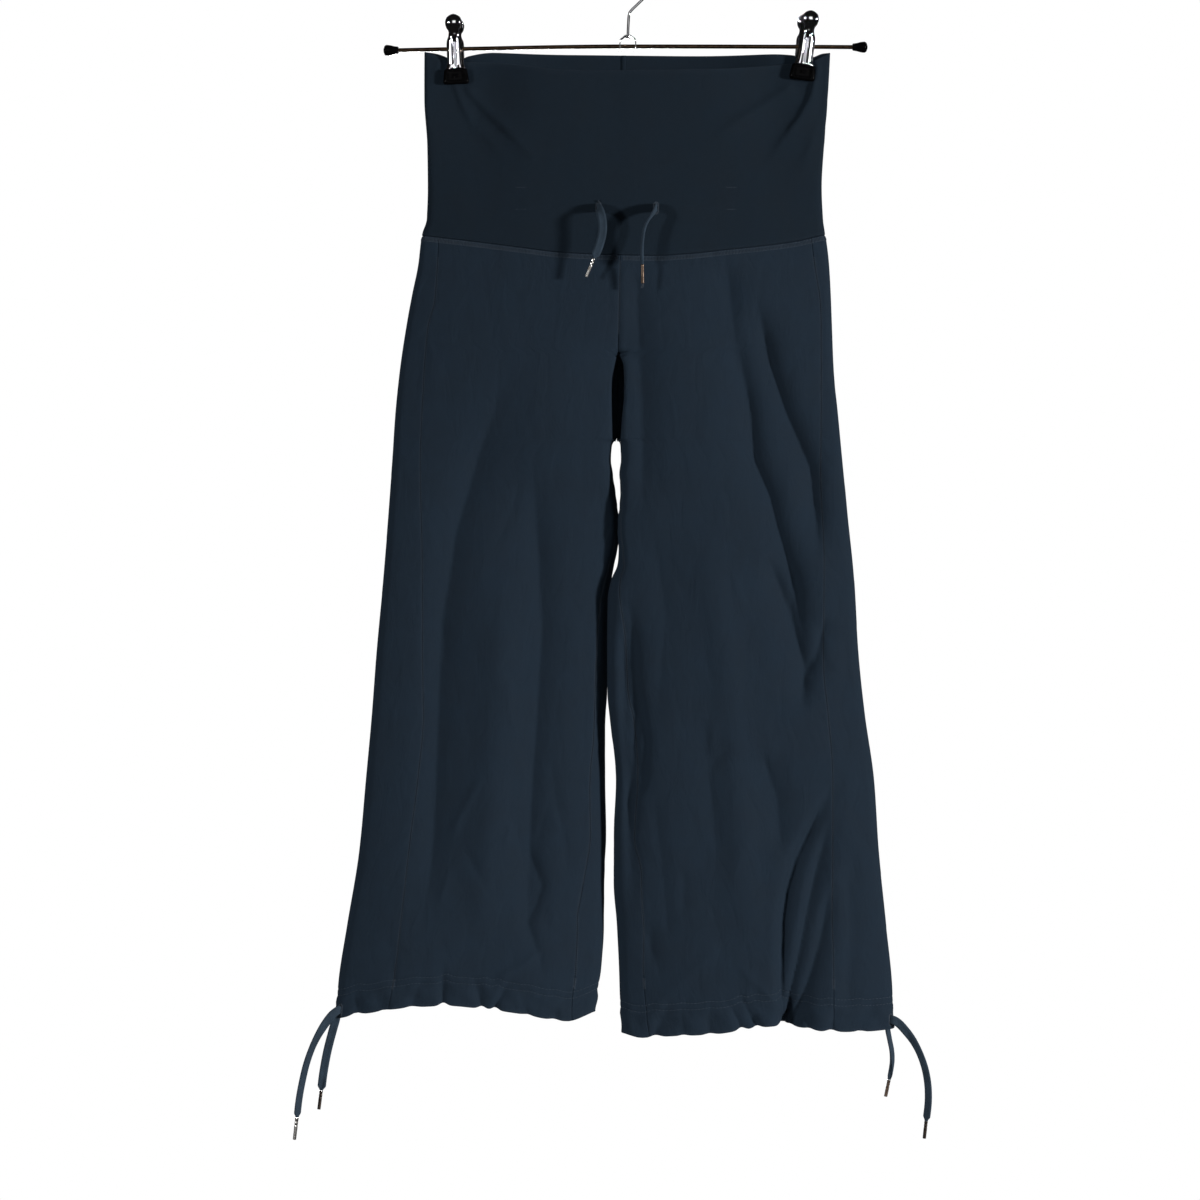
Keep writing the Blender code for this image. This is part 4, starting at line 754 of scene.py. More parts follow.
def two_skins(name, outer, inner):
    """A closed mesh from a grid of outer points in mm and the grid that lies behind it."""
    rows, columns = outer.shape[:2]
    count = rows * columns
    index = np.arange(count).reshape(rows, columns)
    quads = np.stack([index[:-1, :-1], index[:-1, 1:], index[1:, 1:], index[1:, :-1]], axis=-1)
    quads = quads.reshape(-1, 4)
    faces = [quads, quads[:, ::-1] + count]
    for border in (index[0], index[-1][::-1], index[:, 0][::-1], index[:, -1]):
        near, far = border[1:], border[:-1]
        faces.append(np.stack([near, far, far + count, near + count], axis=-1))
    mesh = bpy.data.meshes.new(name)
    vertices = np.concatenate([outer.reshape(-1, 3), inner.reshape(-1, 3)]) * MM
    mesh.from_pydata(vertices.tolist(), [], np.concatenate(faces).tolist())
    return mesh


def map_cloth(mesh, flat):
    """Each vertex's place on the flat cloth, in metres, as the map `cloth`."""
    corner = np.zeros(len(mesh.loops), dtype=np.int32)
    mesh.loops.foreach_get("vertex_index", corner)
    mesh.uv_layers.new(name="cloth").data.foreach_set("uv", flat[corner].ravel())


def store(mesh, label, values):
    """A named value on each vertex, for a material to read."""
    kept = mesh.attributes.new(label, "FLOAT", "POINT")
    kept.data.foreach_set("value", values.astype(np.float32))


def shell(name, points, normals, wall, from_fold, from_sewn, cloth_map, finish):
    """A closed thin shell on a grid of outer points: sewn edges turn in, the folded edge is round."""
    round_off = edge_sink(from_fold, float(wall.max()) * FOLD_ROUND)
    sink = round_off + edge_sink(from_sewn, SEAM_ROUND)
    turned_in = SEAM_TURNING * bump(from_sewn / FRINGE)
    thickness = np.maximum(wall - round_off + turned_in, sink + LEAST_WALL)
    mesh = two_skins(name, points - normals * sink[..., None], points - normals * thickness[..., None])
    map_cloth(mesh, np.concatenate([cloth_map.reshape(-1, 2)] * 2) * MM)
    worn = np.maximum(beside(SEWN_WEAR, from_sewn), beside(FOLD_WEAR, from_fold))
    store(mesh, "rubbed", np.concatenate([worn.ravel()] * 2))
    outward(mesh)
    return link_piece(name, mesh, finish)


def row_places(total, step, dense=()):
    """Places down a panel, mm from its top: fine at both edges, even between, extra ones where dense."""
    edge = np.array(EDGE_STEPS)
    count = int(round((total - 2 * edge[-1]) / step)) + 1
    inner = np.linspace(edge[-1], total - edge[-1], count)[1:-1]
    extra = [place + shift for place in dense for shift in (-1.6, -0.8, 0.0, 0.8, 1.6)]
    return np.unique(np.round(np.concatenate([edge, inner, total - edge[::-1], extra]), 3))


# ---- waistband ----
# One tall band of the same jersey folded double, its fold at the top, closed by a seam at the
# centre back and overlocked to the trousers below. It hangs from the clips and sags between them.
BAND_COLUMNS, BAND_STEP, BAND_HEIGHT = 262, 2.7, 146.0
BAND_FINE_TURNS = 420


def band_side(where, function, *more):
    """A function of side and turn along the whole band, where less than 0 is the right half."""
    right, left = function(RIGHT, np.abs(where), *more), function(LEFT, np.abs(where), *more)
    if isinstance(right, tuple):
        return tuple(np.where((where < 0.0)[..., None], a, b) for a, b in zip(right, left))
    return np.where((where < 0.0)[..., None] if right.ndim > where.ndim else where < 0.0, right, left)


def band_drop(where, places):
    """Heights of the band's rows: `places` are mm down from a rim of usual height."""
    top = band_side(where, edge_drop, "rim")
    bottom = band_side(where, edge_drop, "seam") - SEAM_GAP / 2.0
    return top + (bottom - top) * (places / places[-1])[:, None], top, bottom


def waistband():
    places = row_places(BAND_HEIGHT, BAND_STEP)
    count = len(places)
    fine = np.broadcast_to(np.linspace(-2.0, 2.0, BAND_FINE_TURNS), (count, BAND_FINE_TURNS))
    drop, _top, _bottom = band_drop(fine, places)
    points = band_side(fine, surface, drop)
    mid_drop = drop[:, BAND_FINE_TURNS // 2]
    tips = [(surface(side, 1.0, mid_drop), np.full(count, 2.2), 9.0) for side in (RIGHT, LEFT)]
    near_jaws = 1.0 - smooth((places / places[-1] - 0.1) / 0.5)
    for clip in CLIPS.values():
        for layer in (FRONT, BACK):
            jaw = np.stack([np.full(count, clip["x"]), np.full(count, layer * PINCH_DEPTH), -mid_drop],
                           axis=-1)
            tips.append((jaw, 0.9 * near_jaws, 20.0))
    trims = [(SEAM_GAP / 4.0, SEAM_GAP / 4.0)] * count
    where, along, total = paced(points, fine, tips, BAND_COLUMNS, trims)
    drop, top, bottom = band_drop(where, places)
    points, normals = band_side(where, cloth, drop)
    from_sides = np.minimum(along, total[:, None] - along)
    cloth_map = np.stack([along - total[:, None] / 2.0, -drop], axis=-1)
    return shell("waistband_cloth", points, normals, np.full(where.shape, BAND_WALL), drop - top,
                 np.minimum(from_sides, bottom - drop), cloth_map, NAVY_BAND)


band = waistband()


# ---- trouser legs ----
# A front and a back panel to each leg, sewn at the side and the inseam; the back panel wraps both
# folds. The two halves join in the rise, and each hem is turned up over a drawcord.
LEG_STEP = 2.9
PANEL_COLUMNS = {"front": 112, "back": 120}
SIDE_SEAM_TURN = 0.85
LEG_FINE_TURNS = 300
CASING_HEIGHT = 21.0
VISUAL_SEAM_GAP = 0.06
RISE_LENGTH, LEG_LENGTH = 160.5, 478.5                 # down to the crotch and on to the hem, about
NEAR_CROTCH = (0.0, 0.9, 2.0, 3.4, 5.0, 7.0, 9.5)      # rows close under it


def leg_panel(side, panel):
    rise = row_places(RISE_LENGTH, LEG_STEP)[:-4]
    below = row_places(LEG_LENGTH, LEG_STEP, dense=[LEG_LENGTH - row for row in HEM_ROWS[side]])[1:]
    below = np.unique(np.concatenate([NEAR_CROTCH, below]))
    parts = ([("rise", place / RISE_LENGTH) for place in rise]
             + [("leg", place / LEG_LENGTH) for place in below])

    def drops(turns):
        seam = edge_drop(side, turns, "seam") + SEAM_GAP / 4.0
        hem = edge_drop(side, turns, "hem")
        rows = [seam[i] + (CROTCH_DROP - seam[i]) * part if kind == "rise"
                else CROTCH_DROP + (hem[i] - CROTCH_DROP) * part for i, (kind, part) in enumerate(parts)]
        return np.array(rows), seam, hem

    count = len(parts)
    centre = drops(np.zeros((count, 1)))[0][:, 0]
    at_side = drops(np.full((count, 1), SIDE_SEAM_TURN))[0][:, 0]
    side_turn = turn_at(side, at_side, read(SIDE_SEAM, column_of(side), at_side))
    closed = centre >= CROTCH_DROP
    fold_x = surface(side, 0.0, centre)[:, 0]
    in_x = fold_x + side * read(INSEAM, column_of(side), centre)
    in_turn = np.where(closed, turn_at(side, centre, in_x), 0.0)
    start, end = (in_turn, side_turn) if panel == "front" else (side_turn, 2.0 + in_turn)
    fine = start[:, None] + (end - start)[:, None] * np.linspace(0.0, 1.0, LEG_FINE_TURNS)
    fine_drop = drops(fine)[0]
    points = surface(side, fine, fine_drop, VISUAL_SEAM_GAP)
    deep = 3.0 * smooth((centre - 320.0) / 60.0)
    inner_end = np.where((panel == "back") & ~closed, 2.0, 0.0)
    tips = [(surface(side, inner_end, centre, VISUAL_SEAM_GAP), deep, 9.0)]
    if panel == "back":
        tips.append((surface(side, 1.0, at_side, VISUAL_SEAM_GAP), np.full(count, 2.6), 9.0))
    inner_trim = np.where(closed, VISUAL_SEAM_GAP / 2.0, 0.0)
    side_trim = np.full(count, VISUAL_SEAM_GAP / 2.0)
    trims = np.stack([inner_trim, side_trim] if panel == "front" else [side_trim, inner_trim], axis=-1)
    turns, along, total = paced(points, fine, tips, PANEL_COLUMNS[panel], trims)
    drop, seam, hem = drops(turns)
    points, normals = cloth(side, turns, drop, VISUAL_SEAM_GAP)
    from_sides = np.minimum(along - trims[:, :1], total[:, None] - trims[:, 1:] - along)
    wall = LEG_WALL + (CASING_WALL - LEG_WALL) * smooth((CASING_HEIGHT + 1.0 - (hem - drop)) / 2.0)
    cloth_map = np.stack([along - total[:, None] / 2.0, -drop], axis=-1)
    return shell(f"leg_{column_of(side)}_{panel}_cloth", points, normals, wall, hem - drop,
                 np.minimum(from_sides, drop - seam), cloth_map, NAVY_KNIT)


panels = {(side, panel): leg_panel(side, panel) for side in (LEFT, RIGHT) for panel in ("front", "back")}


# ---- drawcord buttonholes ----
# Short upright slits through one layer of cloth, two in the waistband and two in each hem, each
# bound with close satin stitches. The sewing comes below; here the slits are cut.
SLIT_WIDTH, SLIT_HEIGHT, SLIT_DEPTH, SLIT_SIDES = 2.6, 8.6, 7.0, 20
SLOTS = {               # side, layer, x, drop, and the piece it is cut in
    "waist_left": (LEFT, FRONT, -25.3, 224.0, band),
    "waist_right": (RIGHT, FRONT, 22.1, 224.0, band),
    "hem_left_front": (LEFT, FRONT, -239.0, 886.8, panels[LEFT, "back"]),
    "hem_left_back": (LEFT, BACK, -239.6, 886.8, panels[LEFT, "back"]),
    "hem_right_front": (RIGHT, FRONT, 216.6, 894.8, panels[RIGHT, "back"]),
    "hem_right_back": (RIGHT, BACK, 215.6, 894.8, panels[RIGHT, "back"]),
}


def slot_turn(name):
    """Where round the body a buttonhole lies."""
    side, layer, x, drop, _piece = SLOTS[name]
    turn = np.linspace(0.0, 1.0, 801) if layer == FRONT else np.linspace(2.0, 1.0, 801)
    xs = surface(side, turn, drop)[:, 0] * side
    return float(np.interp(x * side, xs, turn))


def slot_place(name):
    """A buttonhole's middle on the plain outer face, and the way it faces."""
    side, _layer, _x, drop, _piece = SLOTS[name]
    at = slot_turn(name)
    return Vector(surface(side, at, drop)), Vector(facing(side, at, drop))


def as_mesh(piece):
    """The piece with its modifiers made real."""
    graph = bpy.context.evaluated_depsgraph_get()
    made = bpy.data.meshes.new_from_object(piece.evaluated_get(graph), depsgraph=graph)
    piece.modifiers.clear()
    old, piece.data = piece.data, made
    bpy.data.meshes.remove(old)


def cut_away(piece, cutters):
    """Holes through a piece in the shape of other objects, which go."""
    for cutter in cutters:
        cut = piece.modifiers.new("hole", "BOOLEAN")
        cut.object, cut.operation = cutter, "DIFFERENCE"
    as_mesh(piece)
    for cutter in cutters:
        bpy.data.objects.remove(cutter, do_unlink=True)


def slit_shape(name):
    """A long round-ended plug that goes through the cloth at a buttonhole."""
    place, normal = slot_place(name)
    across = Vector((0, 0, 1)).cross(normal).normalized()
    upward = normal.cross(across)
    shape = bmesh.new()
    rings = []
    for depth in (-SLIT_DEPTH / 2.0 - 1.0, SLIT_DEPTH / 2.0 - 1.0):
        ring = []
        for index in range(SLIT_SIDES):
            turn = 2.0 * math.pi * (index + 0.5) / SLIT_SIDES
            out = math.copysign(SLIT_HEIGHT / 2.0 - SLIT_WIDTH / 2.0, math.sin(turn))
            spot = (place + normal * depth + across * math.cos(turn) * SLIT_WIDTH / 2.0
                    + upward * (math.sin(turn) * SLIT_WIDTH / 2.0 + out))
            ring.append(shape.verts.new(spot * MM))
        rings.append(ring)
    first, last = rings
    for index in range(SLIT_SIDES):
        after = (index + 1) % SLIT_SIDES
        shape.faces.new((first[index], first[after], last[after], last[index]))
    shape.faces.new(first)
    shape.faces.new(last)
    mesh = bpy.data.meshes.new("slit_" + name)
    shape.to_mesh(mesh)
    shape.free()
    outward(mesh)
    return link_piece("slit_" + name, mesh, None)


for slotted in (band, panels[LEFT, "back"], panels[RIGHT, "back"]):
    cut_away(slotted, [slit_shape(name) for name, slot in SLOTS.items() if slot[4] == slotted])


# ---- drawcords ----
# Flat hollow braids of dyed cotton, 7 mm wide, that run inside the waistband and the hems; only
# their free ends show. Each end is crimped into a rolled steel aglet.
CORD_WIDTH, CORD_THICKNESS = 7.0, 2.4
AGLET_DIAMETER = 2.9
# The buttonhole, the ways the width lies at the slot and at the end, the aglet's length and its tone
# (bright where it is lit, darker as painted shade), and the route after the slot as (x, y, drop).
CORDS = {
    "waist_cord_left": ("waist_left", (0, 0, 1), (1, 0, 0), 16.3, "bright", (
        (-24.9, -27.2, 225.4), (-23.9, -31.2, 228.6), (-22.6, -33.8, 233.6), (-21.8, -34.6, 239.8),
        (-22.4, -34.6, 248), (-25, -34.2, 257.4), (-29, -33.6, 267))),
    "waist_cord_right": ("waist_right", (0, 0, 1), (0.1, -1, 0), 15.5, "dim_painted_shade", (
        (21.7, -26.6, 225.2), (20.2, -30.8, 228.6), (16.9, -33.4, 233.8), (13.2, -34.4, 240.2),
        (11.2, -34.6, 249), (10.4, -34.4, 259.9), (10.6, -34, 271.9))),
    "hem_cord_left_outer": ("hem_left_front", (0, 0, 1), (-0.68, -0.73, 0), 18.5, "bright", (
        (-244.6, -12, 889.4), (-249.6, -12.8, 895.4), (-255.8, -12, 905), (-261.4, -10.4, 916),
        (-266.6, -8.4, 930), (-270.6, -6.6, 946), (-273.4, -5.2, 961), (-275.2, -4.4, 976))),
    "hem_cord_left_inner": ("hem_left_back", (0, 0, 1), (-1, 0.1, 0), 15.5, "dark_painted_shade", (
        (-242.4, 10.2, 888.8), (-243.9, 12.6, 895.4), (-247.2, 13.4, 907), (-251.3, 13, 923),
        (-254.6, 12, 941), (-256.4, 11, 956))),
    "hem_cord_right_outer": ("hem_right_front", (0, 0, 1), (0.72, -0.69, 0), 14.5, "dark_painted_shade", (
        (222.6, -8.4, 897.2), (228.4, -9, 903.2), (235, -8.4, 912), (240.8, -7, 923),
        (245.2, -5.6, 935.6), (247.7, -4.2, 949.4), (248.1, -3, 963.4), (246.5, -2, 979.4))),
    "hem_cord_right_inner": ("hem_right_back", (0, 0, 1), (0.5, 0.87, 0), 14.0, "dim_painted_shade", (
        (216.4, 10.4, 897), (215.8, 12.6, 904), (217.4, 12.9, 913.5), (219.2, 12.4, 923),
        (219.5, 11.8, 931.5), (218.3, 11.2, 940), (216.8, 10.6, 947))),
}
CORD_START_BEHIND, CORD_STRAIGHT = 3.6, 2.6
TWIST_SHARE = 0.45
BRAID_STEP, BRAID_COLUMNS = 0.3, 56     # along the braid and round it
BRAID_ROUND = 16.7                      # mm round its section
STRANDS_ROUND = 16
STRAND_PITCH = 1.45                     # from one crossing to the next, along
STRAND_HEIGHT = 0.15
SHOULDER = 4.0                          # the braid narrows into its aglet over this length
AGLET_SIDES = 28
AGLET_CRIMPS = (0.16, 0.33)             # shares of its length


def measured(points):
    """Lengths along a row of points."""
    return running(np.linalg.norm(np.diff(points, axis=0), axis=1))


def along_line(rows, length, at):
    return np.stack([np.interp(at, length, rows[:, axis]) for axis in range(3)], axis=-1)


def smooth_route(points, step):
    """Even steps along one smooth curve through the points."""
    points = np.asarray(points, float)
    knots = running(np.sqrt(np.linalg.norm(np.diff(points, axis=0), axis=1)))
    slopes = np.gradient(points, knots, axis=0)
    fine = np.linspace(0.0, knots[-1], 900)
    row = np.clip(np.searchsorted(knots, fine) - 1, 0, len(knots) - 2)
    span = (knots[row + 1] - knots[row])[:, None]
    part = (fine - knots[row])[:, None] / span
    curve = cubic(part, span, (points[row], points[row + 1]), (slopes[row], slopes[row + 1]))
    length = measured(curve)
    at = np.linspace(0.0, length[-1], max(int(round(length[-1] / step)), 4) + 1)
    return along_line(curve, length, at), at


def cord_route(name, step):
    slot, _start, _end, _aglet, _finish, after = CORDS[name]
    place, normal = slot_place(slot)
    hanging = [(x, y, -drop) for x, y, drop in after]
    return smooth_route([tuple(place - normal * CORD_START_BEHIND), tuple(place),
                         tuple(place + normal * CORD_STRAIGHT), *hanging], step)


def tube(name, rings, finish, cloth_map=None):
    """A closed mesh from rings of points, (rings, columns, 3) in mm, capped at both ends."""
    count, columns = rings.shape[:2]
    index = np.arange(count * columns).reshape(count, columns)
    after = np.roll(index, -1, axis=1)
    faces = np.stack([index[:-1], after[:-1], after[1:], index[1:]], axis=-1).reshape(-1, 4).tolist()
    vertices = (rings.reshape(-1, 3) * MM).tolist()
    for ring in (index[0], index[-1]):
        middle = len(vertices)
        vertices.append(np.mean([vertices[i] for i in ring], axis=0).tolist())
        faces += [(int(ring[i]), int(ring[(i + 1) % columns]), middle) for i in range(columns)]
    mesh = bpy.data.meshes.new(name)
    mesh.from_pydata(vertices, [], faces)
    if cloth_map is not None:
        caps = cloth_map[[0, -1], 0]
        map_cloth(mesh, np.concatenate([cloth_map.reshape(-1, 2), caps]) * MM)
    outward(mesh)
    return link_piece(name, mesh, finish)


def round_turns(sides):
    """Even turns round a rod, in radians."""
    return 2.0 * math.pi * np.arange(sides) / sides


def spokes(across, upward, sides):
    """Unit vectors out of a rod all round it, from two that are square to it."""
    turns = round_turns(sides)
    return across * np.cos(turns)[:, None] + upward[..., None, :] * np.sin(turns)[:, None]


def strand_face():
    """Dye and fuzz of a braided cotton strand."""
    tree, start, end = shader_group("strand_face", (("Cloth", "NodeSocketVector", None),
                                                    ("Fibre Scale", "NodeSocketFloat", 2600.0)),
                                    (("Shade", "NodeSocketFloat"), ("Fuzz", "NodeSocketFloat")))
    slow = noise(tree, start.outputs["Cloth"], 120.0, 4.0)
    fuzz = noise(tree, start.outputs["Cloth"], start.outputs["Fibre Scale"], 3.0)
    mixed = sums(tree, "MULTIPLY_ADD", fuzz, 0.5, sums(tree, "MULTIPLY", slow, 0.5))
    wire(tree, end, Shade=ranged(tree, mixed, 0.3, 0.7, 0.7, 1.35), Fuzz=fuzz)
    return tree


STRAND_FACE = strand_face()


def strand_material(name, low, high, depth, roughness=0.88, nap=0.06):
    """Cotton or polyester strands: painted shade darkens them where they dip, and they are lighter on their
    crowns.
    """
    made, tree, shader = new_material(name, high, roughness, Sheen_Weight=nap, Sheen_Roughness=0.4,
                                      Specular_IOR_Level=0.16, Sheen_Tint=(0.6, 0.7, 0.85, 1.0))
    place = put(tree, "ShaderNodeTexCoord")
    face = use_group(tree, STRAND_FACE, Cloth=place.outputs["Object"])
    crown = put(tree, "ShaderNodeAttribute", attribute_name="crown")
    # Painted shade: where the `crown` attribute is low, between crossing strands, the colour darkens
    # towards `low`.
    dyed = blend(tree, crown.outputs["Fac"], low, high)
    wire(tree, shader, Base_Color=scaled(tree, dyed, face.outputs["Shade"]),
         Normal=bumped(tree, 0.5, depth, face.outputs["Fuzz"]))
    return made


# The dark colour is painted shade for the dips between strands; the light one is the braid's own colour on
# its crowns.
NAVY_BRAID = strand_material("navy_braid_strands", (0.0045, 0.0078, 0.012), (0.023, 0.038, 0.056),
                             depth=0.00012)


def wear_mask():
    """Patches and fine scratches that dull a metal sleeve or wire."""
    tree, start, end = shader_group("metal_wear", (("Place", "NodeSocketVector", None),
                                                   ("Patch Scale", "NodeSocketFloat", 300.0)),
                                    (("Patches", "NodeSocketFloat"), ("Scratches", "NodeSocketFloat")))
    place = start.outputs["Place"]
    drawn = wire(tree, put(tree, "ShaderNodeMapping", place), Scale=(900.0, 900.0, 60.0))
    wire(tree, end, Patches=noise(tree, place, start.outputs["Patch Scale"], 5.0, Roughness=0.65),
         Scratches=noise(tree, drawn.outputs[0], 3.0, 4.0))
    return tree


METAL_WEAR = wear_mask()


def worn_face(name, clean, worn, roughness, patch_scale, limits, spread, **constants):
    """A material that is another colour in patches, and as uneven in its roughness; its tree, its
    shader and its wear for the maker to wire."""
    made, tree, shader = new_material(name, clean, roughness, **constants)
    place = put(tree, "ShaderNodeTexCoord")
    wear = use_group(tree, METAL_WEAR, Place=place.outputs["Object"], Patch_Scale=patch_scale)
    uneven, least, most = spread
    wire(tree, shader, Base_Color=blend(tree, ranged(tree, wear.outputs["Patches"], *limits), clean, worn),
         Roughness=ranged(tree, wear.outputs[uneven], 0.3, 0.7, roughness * least, roughness * most))
    return made, tree, shader, wear


def metal(name, clean, tarnish, roughness, patch_scale=300.0, tarnish_from=0.5, tarnish_to=0.68,
          depth=0.00002):
    """A plated or bare metal with tarnish in patches and fine drawn scratches."""
    made, tree, shader, wear = worn_face(name, clean, tarnish, roughness, patch_scale,
                                         (tarnish_from, tarnish_to, 0.0, 1.0), ("Scratches", 0.7, 1.5),
                                         Metallic=1.0)
    wire(tree, shader, Normal=bumped(tree, 0.3, depth, wear.outputs["Scratches"]))
    return made


# One steel for every aglet, in three tones that copy how light fell on each: bright where lit, and two
# darker copies that are painted shade.
AGLET_FINISHES = {
    "bright": metal("aglet_bright", (0.78, 0.76, 0.73), (0.42, 0.38, 0.33), 0.2),
    "dim_painted_shade": metal("aglet_dim_painted_shade", (0.085, 0.06, 0.045), (0.035, 0.027, 0.022), 0.46),
    "dark_painted_shade": metal("aglet_dark_painted_shade", (0.04, 0.032, 0.028), (0.07, 0.05, 0.035), 0.42,
                       tarnish_from=0.55),
}


def braid(name):
    """The braid as a mesh tube whose strands cross over and under, and its aglet."""
    _slot, wide_start, wide_end, aglet_length, finish, _after = CORDS[name]
    route, at = cord_route(name, BRAID_STEP)
    heading = unit(np.gradient(route, axis=0))
    turned = smooth(at / at[-1] / TWIST_SHARE - 0.1)[:, None]
    wide = np.array(wide_start, float) * (1.0 - turned) + np.array(wide_end, float) * turned
    wide = unit(wide - heading * np.sum(wide * heading, axis=1, keepdims=True))
    upward = np.cross(heading, wide)

    turns = round_turns(BRAID_COLUMNS)
    cos, sin = np.cos(turns), np.sin(turns)
    across = CORD_WIDTH / 2.0 * np.sign(cos) * np.abs(cos) ** 0.62
    rib = 0.78 + 0.22 * bump((np.abs(across) - 2.2) / 0.85)
    thick = CORD_THICKNESS / 2.0 * np.sign(sin) * np.abs(sin) ** 0.6 * rib
    out_across, out_thick = cos * np.abs(cos) ** 0.5, sin
    out = np.hypot(out_across, out_thick)

    narrow = smooth((at[-1] - at) / SHOULDER)[:, None]
    tight = AGLET_DIAMETER / 2.0 * 0.96
    row_across = across * narrow + cos * tight * (1.0 - narrow)
    row_thick = thick * narrow + sin * tight * (1.0 - narrow)
    laid_along, laid_round = at[:, None] / STRAND_PITCH, turns / (2.0 * math.pi) * STRANDS_ROUND
    first, second = laid_along + laid_round, laid_along - laid_round
    over = (np.floor(first / 2.0) + np.floor(second / 2.0)) % 2.0 < 1.0
    crown = np.abs(np.sin(math.pi * np.where(over, first, second))) ** 0.5
    lift = STRAND_HEIGHT * (crown - 0.6) * (0.3 + 0.7 * narrow)
    row_across = row_across + lift * out_across / out
    row_thick = row_thick + lift * out_thick / out
    rings = (route[:, None] + wide[:, None] * row_across[..., None]
             + upward[:, None] * row_thick[..., None])
    round_map = np.broadcast_to(np.arange(BRAID_COLUMNS) * (BRAID_ROUND / BRAID_COLUMNS),
                                row_across.shape)
    cloth_map = np.stack([round_map, np.broadcast_to(at[:, None], row_across.shape)], axis=-1)
    cord = tube(name + "_braid", rings, NAVY_BRAID, cloth_map)
    # The crown height is also the mask for the painted shade in the braid's dips.
    store(cord.data, "crown", np.concatenate([crown.ravel(), [0.4, 0.4]]))

    sleeve = aglet(name, route[-1], heading[-1], wide[-1], aglet_length, finish)
    coarse = cord_route(name, 2.5)[0] * MM
    ride(cord)
    ride(sleeve)
    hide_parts(name)
    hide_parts(name + "_aglet")
    tuple(slot_place(CORDS[name][0])[0] * MM)


def aglet(name, end, heading, wide, length, finish):
    """A strip of steel rolled round the braid's end, with its lap along one side and two crimps."""
    steps = np.concatenate([[0.0, 0.05, 0.2, 0.5], np.linspace(0.9, length - 0.9, 34),
                            [length - 0.5, length - 0.2, length - 0.05, length]])
    radius = AGLET_DIAMETER / 2.0 * (1.0 - 0.05 * steps / length)
    radius = radius - edge_sink(np.minimum(steps, length - steps), 0.3)
    for crimp in AGLET_CRIMPS:
        radius = radius - 0.16 * bump((steps - length * crimp) / 0.7)
    turns = round_turns(AGLET_SIDES)
    lap = 0.13 * bump((turns - 1.9) / 0.2) - 0.06 * bump((turns - 2.35) / 0.25)
    profile = radius[:, None] - lap[None, :]
    mouth = profile[-1] * 0.72
    deep = np.stack([profile[-1] * 0.86, mouth, mouth * 0.9])
    along = np.concatenate([steps, [length, length - 0.1, length - 0.9]])
    profile = np.concatenate([profile, deep])
    start = end + heading * SEAM_GAP
    rings = (start + heading * along[:, None, None]
             + spokes(wide, np.cross(heading, wide), AGLET_SIDES)[None] * profile[..., None])
    return tube(name + "_aglet_sleeve", rings, AGLET_FINISHES[finish])


for cord_name in CORDS:
    braid(cord_name)


# ---- rise, centre back and waist allowances ----
# Inside the garment the overlocked allowances of the rise, of the band's own seam and of the waist
# seam are pressed to one side under a narrow strip of the same knit, which closes the seam to light.
TAPE_WIDTH, TAPE_THICKNESS = 3.2, 0.4
SEAM_TAPES = (("rise_allowance", 1.75, NAVY_KNIT, "navy_knit"),
              ("band_allowance", 1.95, NAVY_BAND, "navy_band"),
              ("waist_allowance", 2.35, NAVY_KNIT, "navy_knit"))


def tape_line(name):
    """Down the centre front, under the crotch and up the centre back; up the back of the band; or
    round the waist from the centre back, by the left fold, the front and the right fold."""
    if name == "band_allowance":
        return surface(LEFT, 2.0, np.linspace(249.5, 93.3, 40))
    if name == "waist_allowance":
        turns = np.linspace(0.01, 1.99, 180)
        halves = {side: surface(side, turns, edge_drop(side, turns, "seam")) for side in (LEFT, RIGHT)}
        return np.concatenate([halves[LEFT][::-1], halves[RIGHT]])
    fall = np.concatenate([np.linspace(266.0, 405.0, 40), np.linspace(408.0, CROTCH_DROP - 0.05, 9)])
    front, back = surface(LEFT, 0.0, fall), surface(LEFT, 2.0, fall[::-1])
    return np.concatenate([front, back[1:]])


def seam_tape(name, behind, finish):
    """A strip `behind` mm inside its seam line; the garment's inside is on the line's left."""
    route, at = smooth_route(tape_line(name), 1.6)
    heading = unit(np.gradient(route, axis=0))
    across_way = np.array([0.0, 0.0, 1.0] if name == "waist_allowance" else [1.0, 0.0, 0.0])
    inside = unit(np.cross(across_way, heading))
    half, thick = TAPE_WIDTH / 2.0, TAPE_THICKNESS / 2.0
    across = np.array([half, half - 0.2, 0.0, 0.2 - half, -half, 0.2 - half, 0.0, half - 0.2])
    deep = np.array([0.0, thick, thick, thick, 0.0, -thick, -thick, -thick])
    ripple = 0.08 * np.sin(at / 2.3)[:, None] * (across / half)[None, :]
    rings = (route[:, None] + across_way * across[None, :, None]
             + inside[:, None] * (behind + deep[None, :] + ripple)[..., None])
    flat = np.stack(np.broadcast_arrays(np.arange(8) * 1.5, at[:, None]), axis=-1)
    return tube(name, rings, finish, flat)


for *tape, tape_slot in SEAM_TAPES:
    ride(seam_tape(*tape))


# ---- sewing ----
# Spun polyester thread, a few shades lighter than the cloth: a coverstitch under the waist seam,
# two needle rows on each hem, small stitches that grin through the seams, bar tacks beside the
# drawcord channel, satin rims on the buttonholes, and a frayed end.
THREAD_RADIUS, THREAD_ARCH = 0.17, 0.17
COVER_STEP, HEM_STEP, SEAM_STEP, TACK_STEP = 2.4, 3.0, 1.7, 1.0
TACKED, SEAM_HALF, TACK_HALF = 9.5, 1.25, 1.5                # mm of seam end; half stitches
SEWN_FROM, SEWN_TO = {"side": 262.0, "inseam": 424.0}, 868.0
BAR_TACKS = ((LEFT, -89.3, 206.5), (LEFT, -89.3, 224.7), (RIGHT, 84.2, 206.5), (RIGHT, 84.2, 224.7))
BAR_LENGTH, BAR_HEIGHT = 8.3, 2.1
RIM_THREADS, RIM_INNER, RIM_OUTER = 58, -0.2, 1.15          # reaches from the slit's own edge
